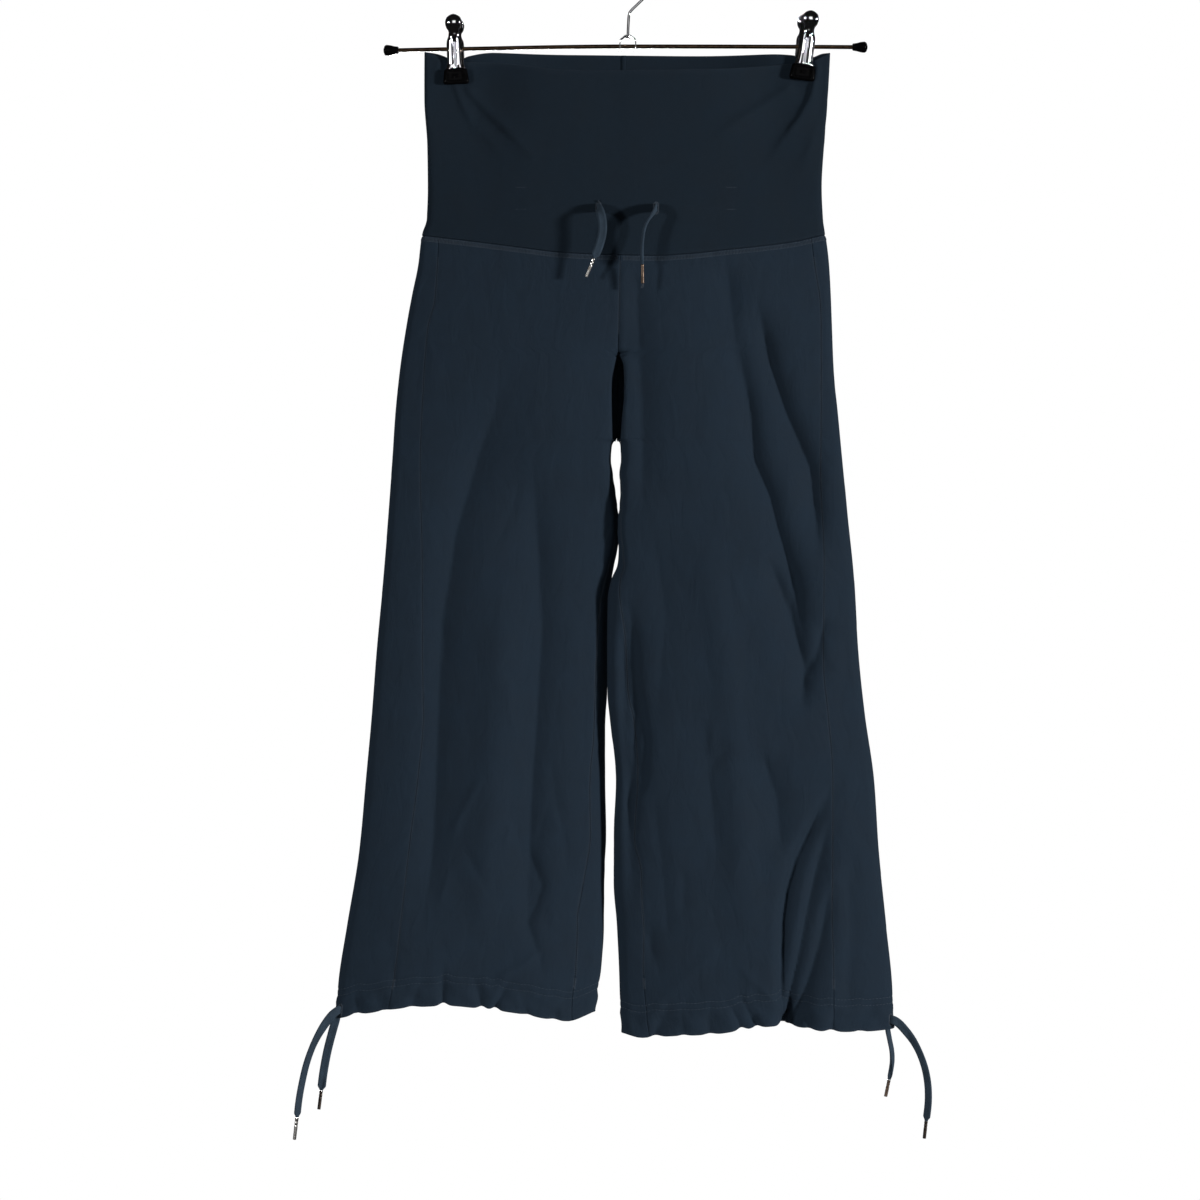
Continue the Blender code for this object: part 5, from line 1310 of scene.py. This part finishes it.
# Buttonhole, shift and lean from its middle, count, reach, spread and seed of its loose ends.
FRAYED_SLOTS = (("waist_left", (0.4, -0.5, 4.6), (0.1, 0.0, 1.2), 12, 2.0, 0.5, 9),
                ("hem_right_back", (0.0, 0.4, -4.6), (-0.4, 0.0, -1.2), 10, 2.2, 0.5, 13))
laid = []                                                   # rows of (middle, along, out) in mm


def lay(first, last, out):
    """Threads from one row of points to another, and the way they arch."""
    laid.append(np.concatenate([(first + last) / 2.0, last - first, out], axis=-1).reshape(-1, 9))


def needle_rows(side, turns, drops, step, share):
    """Straight stitches along lines on the cloth, and the lines themselves for what crosses them."""
    lines = [cloth(side, turns, drop, VISUAL_SEAM_GAP) for drop in drops]
    length = measured(sum(points for points, _out in lines) / len(lines))
    at = np.arange(0.5 * step, length[-1] - step, step)
    for points, out in lines:
        lay(along_line(points, length, at), along_line(points, length, at + share * step),
            unit(along_line(out, length, at)))
    return lines, length, at


def coverstitch(side):
    turns = np.linspace(0.004, 1.996, 900)
    seam = edge_drop(side, turns, "seam")
    lines, length, at = needle_rows(side, turns, [seam + row for row in SEAM_ROWS], COVER_STEP, 0.74)
    (top, out), (low, _out) = lines
    for shift in (0.0, 0.5):
        lay(along_line(top, length, at + shift * COVER_STEP),
            along_line(low, length, at + (shift + 0.16) * COVER_STEP), unit(along_line(out, length, at)))


def seam_line(side, kind):
    """Turns and drops down a side seam or an inseam."""
    drop = np.linspace(SEWN_FROM[kind], SEWN_TO, {"side": 480, "inseam": 360}[kind])
    column = column_of(side)
    if kind == "side":
        return turn_at(side, drop, read(SIDE_SEAM, column, drop)), drop
    return turn_at(side, drop, surface(side, 0.0, drop)[:, 0] + side * read(INSEAM, column, drop)), drop


def seam_stitches(side, kind):
    """Short threads across a seam's groove, closer where its hem end is tacked."""
    turns, drop = (0.0005, np.linspace(266.0, 338.0, 90)) if kind == "centre" else seam_line(side, kind)
    points, out = cloth(side, turns, drop, VISUAL_SEAM_GAP)
    length = measured(points)
    tacked = length[-1] - np.arange(0.0, 9.0, TACK_STEP)
    at = np.concatenate([np.arange(2.0, length[-1] - 10.0, SEAM_STEP), tacked if kind != "centre" else []])
    middle, normal = along_line(points, length, at), unit(along_line(out, length, at))
    down = unit(along_line(np.gradient(points, length, axis=0), length, at))
    reach = np.where(at > length[-1] - TACKED, TACK_HALF, SEAM_HALF)[:, None]
    half = (np.cross(normal, down) + 0.25 * down) * reach
    middle = middle + normal * 0.08
    lay(middle - half, middle + half, normal)


def on_cloth(side, turn, drop, sideways, upward):
    """Points on the cloth, so far sideways along it and up it from a place, and the way they face."""
    near = turn + np.linspace(-0.12, 0.12, 241)
    points = surface(side, near, drop)
    length = measured(points)
    length -= length[120]
    if points[-1, 0] < points[0, 0]:
        sideways = -np.asarray(sideways)
    return cloth(side, np.interp(sideways, length, near), drop - np.asarray(upward, float))


def bar_tack(side, x, drop):
    turn = float(turn_at(side, [drop], x)[0])
    across = np.linspace(-BAR_LENGTH / 2.0, BAR_LENGTH / 2.0, 17)
    top, out = on_cloth(side, turn, drop, across, np.full(17, BAR_HEIGHT / 2.0))
    low, _out = on_cloth(side, turn, drop, across + 0.24, np.full(17, -BAR_HEIGHT / 2.0))
    lay(top - out * 0.27, low - out * 0.27, out)


def satin_rim(name):
    """Close threads set square to the slit's edge, all round it."""
    side, _layer, _x, drop, _piece = SLOTS[name]
    straight, radius = SLIT_HEIGHT - SLIT_WIDTH, SLIT_WIDTH / 2.0
    around = 2.0 * straight + 2.0 * math.pi * (radius + 0.4)
    ends = [[], []]
    for index in range(RIM_THREADS):
        place = around * index / RIM_THREADS
        half_turn = place // (around / 2.0)
        place -= half_turn * around / 2.0
        if place < straight:
            base, way = (0.0, place - straight / 2.0), (1.0, 0.0)
        else:
            angle = (place - straight) / (radius + 0.4)
            base, way = (0.0, straight / 2.0), (math.cos(angle), math.sin(angle))
        flip = 1.0 if half_turn == 0 else -1.0
        for row, reach in zip(ends, (radius + RIM_INNER, radius + RIM_OUTER)):
            row.append((flip * (base[0] + way[0] * reach), flip * (base[1] + way[1] * reach)))
    inner, outer = (on_cloth(side, slot_turn(name), drop, *np.array(row).T) for row in ends)
    lay(inner[0] + inner[1] * 0.1, outer[0] + outer[1] * 0.02, unit(inner[1] + outer[1]))


def tuft(place, heading, count, reach, spread, seed):
    """A few loose ends that fan out."""
    random = np.random.default_rng(seed)
    ways = unit(np.asarray(heading) + random.normal(0.0, spread, (count, 3)))
    first = np.asarray(place) + random.normal(0.0, 0.45, (count, 3))
    last = first + ways * reach * random.uniform(0.5, 1.0, (count, 1))
    lay(first, last, unit(np.cross(ways, [0.3, 1.0, 0.2])))


def sew_everything():
    for side in (LEFT, RIGHT):
        coverstitch(side)
        round_hem = np.linspace(0.0, 2.0, 900)
        hem = edge_drop(side, round_hem, "hem")
        needle_rows(side, round_hem, [hem - row for row in HEM_ROWS[side]], HEM_STEP, 0.66)
        seam_stitches(side, "side")
        seam_stitches(side, "inseam")
    seam_stitches(LEFT, "centre")
    for tack in BAR_TACKS:
        bar_tack(*tack)
    for name in SLOTS:
        satin_rim(name)
    route, _at = cord_route("waist_cord_right", 0.5)
    heading = unit(route[-1] - route[-2])
    tuft(route[-1] + heading * (CORDS["waist_cord_right"][3] + 0.2), heading, 22, 4.0, 0.22, 5)
    for name, shift, lean, *rest in FRAYED_SLOTS:
        place, normal = slot_place(name)
        tuft(np.array(place) + shift, np.array(normal) + lean, *rest)


def thread_layer():
    """Geometry nodes that lay one arched thread on each vertex, by its `along` and `out`."""
    tree = bpy.data.node_groups.new("laid_threads", "GeometryNodeTree")
    for label, kind in (("Spots", "Geometry"), ("Thread Radius", "Float"), ("Arch", "Float"),
                        ("Unevenness", "Float"), ("Seed", "Int"), ("Finish", "Material")):
        tree.interface.new_socket(label, in_out="INPUT", socket_type="NodeSocket" + kind)
    tree.interface.new_socket("Threads", in_out="OUTPUT", socket_type="NodeSocketGeometry")
    tree.is_modifier = True

    def add(kind, settings=(), **values):
        made = tree.nodes.new(kind)
        for label, value in dict(settings).items():
            setattr(made, label, value)
        return wire(tree, made, **values)

    given, made = add("NodeGroupInput").outputs, add("NodeGroupOutput")
    dip = sums(tree, "MULTIPLY", given["Arch"], -1.0)
    start = put(tree, "ShaderNodeCombineXYZ", -0.5, 0.0, dip)
    top = put(tree, "ShaderNodeCombineXYZ", 0.0, 0.0, sums(tree, "MULTIPLY", given["Arch"], 3.0))
    end = put(tree, "ShaderNodeCombineXYZ", 0.5, 0.0, dip)
    line = add("GeometryNodeCurveQuadraticBezier", Resolution=4, Start=start.outputs[0],
               Middle=top.outputs[0], End=end.outputs[0])
    ring = add("GeometryNodeCurvePrimitiveCircle", Resolution=5, Radius=given["Thread Radius"])
    thread = add("GeometryNodeCurveToMesh", Curve=line.outputs[0], Profile_Curve=ring.outputs[0])
    along, out = (add("GeometryNodeInputNamedAttribute", {"data_type": "FLOAT_VECTOR"},
                      Name=label).outputs[0] for label in ("along", "out"))
    aimed = add("FunctionNodeAlignRotationToVector", {"axis": "X"}, Vector=along)
    rolled = add("FunctionNodeAlignRotationToVector", {"axis": "Z", "pivot_axis": "X"}, Vector=out,
                 Rotation=aimed.outputs[0])
    least, most = (sums(tree, sign, 1.0, given["Unevenness"]) for sign in ("SUBTRACT", "ADD"))
    shares = []
    for shift in (0.0, 7.0):
        share = add("FunctionNodeRandomValue", {"data_type": "FLOAT"},
                    Seed=sums(tree, "ADD", given["Seed"], shift))
        tree.links.new(least, share.inputs[2])
        tree.links.new(most, share.inputs[3])
        shares.append(share.outputs[1])
    long = put(tree, "ShaderNodeVectorMath", along, operation="LENGTH").outputs["Value"]
    size = put(tree, "ShaderNodeCombineXYZ", sums(tree, "MULTIPLY", long, shares[0]), 1.0, shares[1])
    spread = add("GeometryNodeInstanceOnPoints", Points=given["Spots"], Instance=thread.outputs[0],
                 Rotation=rolled.outputs[0], Scale=size.outputs[0])
    real = add("GeometryNodeRealizeInstances", Geometry=spread.outputs[0])
    dyed = add("GeometryNodeSetMaterial", Geometry=real.outputs[0], Material=given["Finish"])
    wire(tree, made, Threads=dyed.outputs[0])
    return tree


def sewing():
    sew_everything()
    rows = np.concatenate(laid)
    mesh = bpy.data.meshes.new("sewing")
    mesh.from_pydata((rows[:, :3] * MM).tolist(), [], [])
    for label, columns, scale in (("along", slice(3, 6), MM), ("out", slice(6, 9), 1.0)):
        stored = mesh.attributes.new(label, "FLOAT_VECTOR", "POINT")
        stored.data.foreach_set("vector", (rows[:, columns] * scale).astype(np.float32).ravel())
    piece = link_piece("sewing", mesh, None)
    threads = piece.modifiers.new("laid threads", "NODES")
    threads.node_group = thread_layer()
    finish = strand_material("seam_thread", (0.03, 0.041, 0.056), (0.062, 0.08, 0.103), 0.00005, 0.6, 0.15)
    values = {"Thread Radius": THREAD_RADIUS * MM, "Arch": THREAD_ARCH * MM, "Unevenness": 0.1, "Seed": 4,
              "Finish": finish}
    for item in threads.node_group.interface.items_tree:
        if item.item_type == "SOCKET" and item.in_out == "INPUT" and item.name in values:
            threads[item.identifier] = values[item.name]
    as_mesh(piece)
    piece.data.shade_smooth()
    ride(piece)


sewing()


# ---- rod and its tips ----
# A drawn steel rod with a dark bronze finish, which bows a little under the load, and a dipped
# black rubber tip pushed on at each end.
ROD_DIAMETER = 3.4
ROD = {"x": (-199, -145, -1, 145, 193.2), "drop": (91.1, 90.0, 87.8, 88.1, 88.4)}
TIP_SOCKET, TIP_LENGTH = 7.7, 12.2
TIP_OUTSIDE = {"along": (0, 3.0, 7.2, 9.8, 11.5, TIP_LENGTH), "radius": (2.9, 3.3, 4.3, 4.55, 3.7, 1.9)}
# The tip's bore and nose as (along, radius).
TIP_BORE = ((7.98, 0.9), (7.99, 2.0), (4.0, 2.0), (0.5, 2.0), (0.1, 2.1))
TIP_NOSE = ((12.45, 1.2), (12.5, 0.5))
WIRE_SIDES = 28


def spun(name, start, heading, profile, finish):
    """A turned solid from (along, radius) rows, its ends closed."""
    heading = unit(np.asarray(heading, float))
    across = unit(np.cross(heading, [0.0, 0.0, 1.0] if abs(heading[2]) < 0.8 else [0.0, 1.0, 0.0]))
    along, radius = np.asarray(profile, float).T[..., None, None]
    rings = (np.asarray(start, float) + heading * along
             + spokes(across, np.cross(heading, across), WIRE_SIDES)[None] * radius)
    return tube(name, rings, finish)


def wire_tube(name, route, radii, finish):
    """Round wire along a route in the hanger's plane, with dressed ends."""
    heading = unit(np.gradient(route, axis=0))
    across = np.array([0.0, 1.0, 0.0])
    way_out = spokes(across, np.cross(heading, across), WIRE_SIDES)
    return tube(name, route[:, None] + way_out * radii[:, None, None], finish)


def rubber(name, colour, roughness):
    """Dipped rubber: satin, with dust in patches and a faint orange peel."""
    made, tree, shader, wear = worn_face(name, colour, (0.009, 0.009, 0.0095), roughness, 420.0,
                                         (0.5, 0.8, 0.0, 0.35), ("Patches", 0.8, 1.25),
                                         Specular_IOR_Level=0.02)
    wire(tree, shader, Normal=bumped(tree, 0.25, 0.00006, wear.outputs["Patches"]))
    return made


ROD_BRONZE = metal("rod_bronze", (0.085, 0.052, 0.03), (0.02, 0.014, 0.01), 0.3, tarnish_from=0.42)
DIPPED_RUBBER = rubber("dipped_rubber", (0.0016, 0.0016, 0.0018), 0.15)
CHROME_PLATE = metal("chrome_plate", (0.78, 0.78, 0.81), (0.30, 0.24, 0.19), 0.035, patch_scale=220.0,
                     tarnish_from=0.6, tarnish_to=0.76, depth=0.000002)


def rod_drop(x):
    return read(ROD, "drop", x)


def rod_and_tips():
    first, last = ROD["x"][0], ROD["x"][-1]
    x = np.concatenate([[first, first + 0.1, first + 0.4], np.linspace(first + 3.0, last - 3.0, 90),
                        [last - 0.4, last - 0.1, last]])
    radii = ROD_DIAMETER / 2.0 - edge_sink(np.minimum(x - first, last - x), 0.4)
    bar = wire_tube("rod_wire", np.stack([x, np.zeros_like(x), -rod_drop(x)], axis=-1), radii, ROD_BRONZE)
    ride(bar)
    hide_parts("rod")
    along = np.linspace(0.0, TIP_LENGTH, 40)
    outside = read(TIP_OUTSIDE, "radius", along) - edge_sink(along, 0.5)
    profile = [*TIP_BORE, *zip(along, outside), *TIP_NOSE]
    for name, end, inward in (("rod_tip_left", first, 1), ("rod_tip_right", last, -1)):
        inner = end + inward * TIP_SOCKET
        start, mouth = (np.array([place, 0.0, -rod_drop(place)]) for place in (inner, end))
        tip = spun(name + "_rubber", start, mouth - start, profile, DIPPED_RUBBER)
        ride(tip)
        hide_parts(name)


rod_and_tips()


# ---- hook and saddle ----
# Bright spring wire bent to a round crook; its peened head turns under the peak of a chromed strip
# that is bent down over the rod.
HOOK_WIRE, HOOK_RADIUS, HOOK_BEND_DROP = 2.2, 25.3, 60.0
SADDLE_X, SADDLE_DEPTH, SADDLE_SHEET = -1.0, 7.0, 0.9
# The hook's stem as (x, drop) and its peened head as (along, radius); half the saddle's line as
# (across, drop), and its section as (across from the edge, up).
STEM = ((SADDLE_X, 80.0), (-0.5, 68.0), (-0.1, 62.4), (0.4, 60.0), (1.9, 57.9), (9.5, HOOK_BEND_DROP - 9.5))
PEENED = ((0.0, 0.6), (0.05, 1.3), (0.3, 1.75), (0.9, 1.87), (1.3, 1.7), (1.5, 1.2), (1.52, 0.6))
SADDLE_HALF = ((-6.9, 90.7), (-6.9, 87.5), (-6.9, 83.6), (-6.1, 81.6), (-4.2, 80.2), (-2.0, 78.6))
SADDLE_EDGE = ((0.0, 0.0), (0.12, 0.32), (0.45, 0.45))


def hook():
    centre = HOOK_BEND_DROP - HOOK_RADIUS * math.sqrt(2.0)
    crook = [(HOOK_RADIUS * math.cos(angle), centre - HOOK_RADIUS * math.sin(angle))
             for angle in np.radians(np.arange(-45, 204, 6))]
    route, at = smooth_route([(x, 0.0, -drop) for x, drop in [*STEM, *crook]], 0.55)
    left = at[-1] - at
    radii = HOOK_WIRE / 2.0 * (1.0 - 0.3 * (1.0 - smooth(left / 5.0))) - edge_sink(left, 0.5)
    piece = wire_tube("hook_wire", route, radii, CHROME_PLATE)
    head = spun("hook_head", (SADDLE_X, 0.0, -81.3), (0.0, 0.0, 1.0), PEENED, CHROME_PLATE)
    with bpy.context.temp_override(active_object=piece, selected_editable_objects=[piece, head],
                                   object=piece):
        bpy.ops.object.join()
    ride(piece)
    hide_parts("hook")


def saddle():
    """The strip as one closed ribbon; its legs are notched over the rod by their own round holes."""
    path = [*SADDLE_HALF, *[(-across, drop) for across, drop in reversed(SADDLE_HALF)]]
    route, at = smooth_route([(SADDLE_X + across, 0.0, -drop) for across, drop in path], 0.35)
    heading = unit(np.gradient(route, axis=0))
    across_way = np.array([0.0, 1.0, 0.0])
    outward_way = np.cross(across_way, heading) * -1.0
    half, thick = SADDLE_DEPTH / 2.0, SADDLE_SHEET / 2.0
    upper = ([(half - inset, up) for inset, up in SADDLE_EDGE] + [(0.0, thick)]
             + [(inset - half, up) for inset, up in reversed(SADDLE_EDGE)])
    outline = np.array(upper + [(-across, -up) for across, up in upper[1:-1]])
    across, deep = outline[:, 0], outline[:, 1] - thick
    ease = edge_sink(np.minimum(at, at[-1] - at), 1.2)
    rings = (route[:, None] + across_way * (across[None, :] * (1.0 - ease / half)[:, None])[..., None]
             + outward_way[:, None] * deep[None, :, None])
    piece = tube("saddle_strip", rings, CHROME_PLATE)
    cut_away(piece, [
        spun("saddle_drill", start, way, ((0.0, radius), (length, radius)), CHROME_PLATE)
        for start, way, length, radius in (
            ((-14.0, 0.0, -float(rod_drop(0.0))), (1.0, 0.0, 0.0), 28.0, 2.0),
            ((SADDLE_X, 0.0, -84.0), (0.0, 0.0, 1.0), 8.0, 1.4))])
    piece.data.shade_smooth()
    piece.data.set_sharp_from_angle(angle=math.radians(50))
    ride(piece)
    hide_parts("saddle")


hook()
saddle()


# ---- clips ----
# Two halves of each clip are pressed from chromed sheet: two ribs, a waisted neck and a round
# thumb knob, left bare. They clasp the rod and hold the cloth between dipped rubber jaws.
CLIP_SHAPE = {
    "height": (13.1, 17.0, 27.2, 32.2, 36.2, 39.2, 42.5, 44.0, 46.2, 50.4, 54.3, 56.2, 57.1, 57.4),
    "half": (8.3, 7.2, 6.8, 6.8, 6.4, 5.1, 4.5, 4.8, 6.2, 7.0, 5.8, 3.7, 1.8, 0.7),
    "face": (6.4, 6.8, 7.6, 7.9, 8.3, 9.0, 9.8, 10.4, 11.9, 13.4, 12.8, 11.4, 10.2, 9.6),
    "flange": (3.2, 2.6, 2.1, 2.1, 3.0, 5.0, 7.0, 7.7, 8.4, 9.2, 9.4, 9.3, 9.2, 9.2),
}
# Half of the cross section, from the middle groove out to the free edge of the side wall: how far
# across, and how much of the height from that edge to the crest of the rib.
RIBBED = {"part": (0, .1, .22, .34, .46, .56, .66, .74, .82, .9, 1),
          "across": (0, .09, .2, .36, .5, .64, .74, .82, .93, .985, 1),
          "share": (.5, .56, .84, .98, 1, .93, .74, .6, .52, .3, 0)}
CLIP_SHEET, CLIP_COLUMNS, CLIP_FOOT = 0.8, 22, 13.1
# A jaw pad's corners as (across, height, rounding), and its rings outward as (depth, share of the
# outline).
PAD_HEIGHT, PAD_INNER, PAD_OUTER = 12.8, 2.1, 7.5
PAD_CORNERS = ((-9.4, PAD_HEIGHT, 2.0), (9.4, PAD_HEIGHT, 2.0), (11.0, 0.0, 3.2), (-11.0, 0.0, 3.2))
PAD_LEVELS = ((PAD_INNER, 0.5), (PAD_INNER, 0.95), (PAD_INNER + 0.1, 0.975), (PAD_INNER + 0.5, 1.0),
              (PAD_OUTER - 2.6, 1.0), (PAD_OUTER - 1.5, 0.985), (PAD_OUTER - 0.8, 0.94),
              (PAD_OUTER - 0.3, 0.87), (PAD_OUTER, 0.79), (PAD_OUTER, 0.72), (PAD_OUTER - 0.35, 0.66),
              (PAD_OUTER - 0.45, 0.45), (PAD_OUTER - 0.45, 0.2), (PAD_OUTER - 0.2, 0.12),
              (PAD_OUTER, 0.09), (PAD_OUTER + 0.1, 0.04))


def on_clip(clip, layer, across, depth, height):
    """A point of a clip half: across and up its face, and out from the middle plane."""
    lean = clip[layer]
    across, depth, height = np.broadcast_arrays(across, depth, height)
    x = clip["x"] + across * math.cos(lean) + height * math.sin(lean)
    drop = clip["jaw_bottom"] - height * math.cos(lean) + across * math.sin(lean)
    return np.stack([x, layer * depth, -drop], axis=-1)


def clip_half(name, clip, layer):
    height = np.concatenate([[CLIP_FOOT, CLIP_FOOT + 0.1, CLIP_FOOT + 0.35], np.linspace(13.9, 54.0, 68),
                             np.linspace(54.3, 57.4, 20)])[:, None]
    part = np.linspace(-1.0, 1.0, 2 * CLIP_COLUMNS + 1)[None, :]
    half, face, flange = (read(CLIP_SHAPE, label, height) for label in ("half", "face", "flange"))
    ribbed = smooth((40.5 - height) / 5.0)
    angle = np.abs(part) * math.pi / 2.0
    across = read(RIBBED, "across", np.abs(part)) * ribbed + np.sin(angle) * (1.0 - ribbed)
    share = read(RIBBED, "share", np.abs(part)) * ribbed + np.cos(angle) * (1.0 - ribbed)
    depth = flange + (face - flange) * share
    outer = on_clip(clip, layer, across * np.sign(part) * half, depth, height)
    normals = unit(np.cross(np.gradient(outer, axis=1), np.gradient(outer, axis=0)))
    crest = normals[:, CLIP_COLUMNS:CLIP_COLUMNS + 1]
    normals = normals * np.sign(np.sum(crest * (0.0, layer, 0.0), axis=-1, keepdims=True))
    rim = np.minimum(1.0 - np.abs(part), (height - CLIP_FOOT) / 8.0) * 8.0
    inner = outer - normals * CLIP_SHEET
    outer = outer - normals * edge_sink(rim, 0.3)[..., None]
    mesh = two_skins(name + "_steel", outer, inner)
    outward(mesh)
    piece = link_piece(name + "_steel", mesh, CHROME_PLATE)
    ride(piece)
    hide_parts(name)


def clip_pad(name, clip, layer):
    outline = []
    for index, (*corner, radius) in enumerate(PAD_CORNERS):
        here = Vector(corner)
        before = (Vector(PAD_CORNERS[index - 1][:2]) - here).normalized()
        after = (Vector(PAD_CORNERS[(index + 1) % 4][:2]) - here).normalized()
        for step in np.linspace(0.0, 1.0, 9):
            outline.append(here + before * radius * (1.0 - step) ** 2 + after * radius * step ** 2)
    flat = np.array([tuple(corner) for corner in outline])
    middle = np.array([0.0, PAD_HEIGHT / 2.0])
    rings = []
    for depth, shrink in PAD_LEVELS:
        ring = middle + (flat - middle) * shrink
        rings.append(on_clip(clip, layer, ring[:, 0], depth, ring[:, 1]))
    piece = tube(name + "_rubber", np.array(rings), DIPPED_RUBBER)
    ride(piece)
    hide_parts(name)


for clip_name, clip in CLIPS.items():
    for half_name, half_layer in (("front", FRONT), ("back", BACK)):
        clip_half(f"clip_{clip_name}_{half_name}", clip, half_layer)
        clip_pad(f"clip_{clip_name}_pad_{half_name}", clip, half_layer)


# ---- floor and light ----
# A pale matt floor well below the garment, a strong lamp at the right, a weaker one at the left and
# one behind, and a dim sky with a bright card that only shiny things see.
FLOOR_RADIUS, FLOOR_HEIGHT = 1.05, -1.27
LAMP_AIM = (-0.02, 0.0, -0.6)
# Name, place, width and power.
LAMPS = (("lamp_left", (-4.46, -4.01, -0.1), 0.66, 184.0), ("lamp_right", (5.3, -2.82, -0.16), 0.6, 455.0),
         ("lamp_behind", (-0.3, 4.2, -0.4), 0.9, 210.0))
WHITE = (1.0, 1.0, 1.0, 1.0)


def stage():
    mesh = bpy.data.meshes.new("floor")
    shape = bmesh.new()
    bmesh.ops.create_circle(shape, cap_ends=True, segments=96, radius=FLOOR_RADIUS)
    shape.to_mesh(mesh)
    shape.free()
    mesh.transform(Matrix.Translation((0.0, 0.0, FLOOR_HEIGHT)))
    finish, _tree, _shader = new_material("pale_floor", (0.82, 0.82, 0.81), 0.9)
    floor = link_piece("floor", mesh, finish)
    floor.visible_glossy = False
    for name, place, size, power in LAMPS:
        lamp = bpy.data.lights.new(name, "AREA")
        lamp.shape, lamp.size, lamp.energy = "DISK", size, power
        holder = bpy.data.objects.new(name, lamp)
        holder.location = place
        aim = Vector(LAMP_AIM) - Vector(place)
        holder.rotation_mode = "QUATERNION"
        holder.rotation_quaternion = aim.to_track_quat("-Z", "Y")
        bpy.context.scene.collection.objects.link(holder)
    world = bpy.data.worlds.new("studio")
    world.use_nodes = True
    tree = world.node_tree
    tree.nodes.clear()
    way = put(tree, "ShaderNodeSeparateXYZ", put(tree, "ShaderNodeTexCoord").outputs["Generated"])
    overhead = ranged(tree, way.outputs["Z"], 0.15, 0.75, 0.035, 0.32)
    ahead = ranged(tree, way.outputs["Y"], -0.1, -0.5, 0.0, 1.0)
    aside = sums(tree, "ABSOLUTE", sums(tree, "ADD", way.outputs["X"], -0.06))
    tilt = sums(tree, "ABSOLUTE", sums(tree, "ADD", way.outputs["Z"], -0.03))
    square = sums(tree, "MULTIPLY", ranged(tree, aside, 0.27, 0.12, 0.0, 1.0),
                  ranged(tree, tilt, 0.36, 0.22, 0.0, 1.0))
    card = sums(tree, "MULTIPLY_ADD", sums(tree, "MULTIPLY", square, ahead), 1.35, 0.007)
    path = tree.nodes.new("ShaderNodeLightPath")
    shiny = put(tree, "ShaderNodeMix", path.outputs["Is Glossy Ray"], None, overhead, card)
    sky = put(tree, "ShaderNodeBackground", WHITE, shiny.outputs[0])
    backdrop = put(tree, "ShaderNodeBackground", WHITE, 1.0)
    mixed = put(tree, "ShaderNodeMixShader", path.outputs["Is Camera Ray"], sky.outputs[0],
                backdrop.outputs[0])
    wire(tree, tree.nodes.new("ShaderNodeOutputWorld"), Surface=mixed.outputs[0])
    bpy.context.scene.world = world
    bpy.context.scene.view_settings.view_transform = "Standard"
    bpy.context.scene.view_settings.look = "None"


stage()


# ---- the sheets ----
# The five sheets of knit go with the one body, and the imported parts they stand in for are hidden.
ride(band)
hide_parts("waistband")
for (side, panel), piece in panels.items():
    ride(piece)
    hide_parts(f"leg_{column_of(side)}_{panel}")
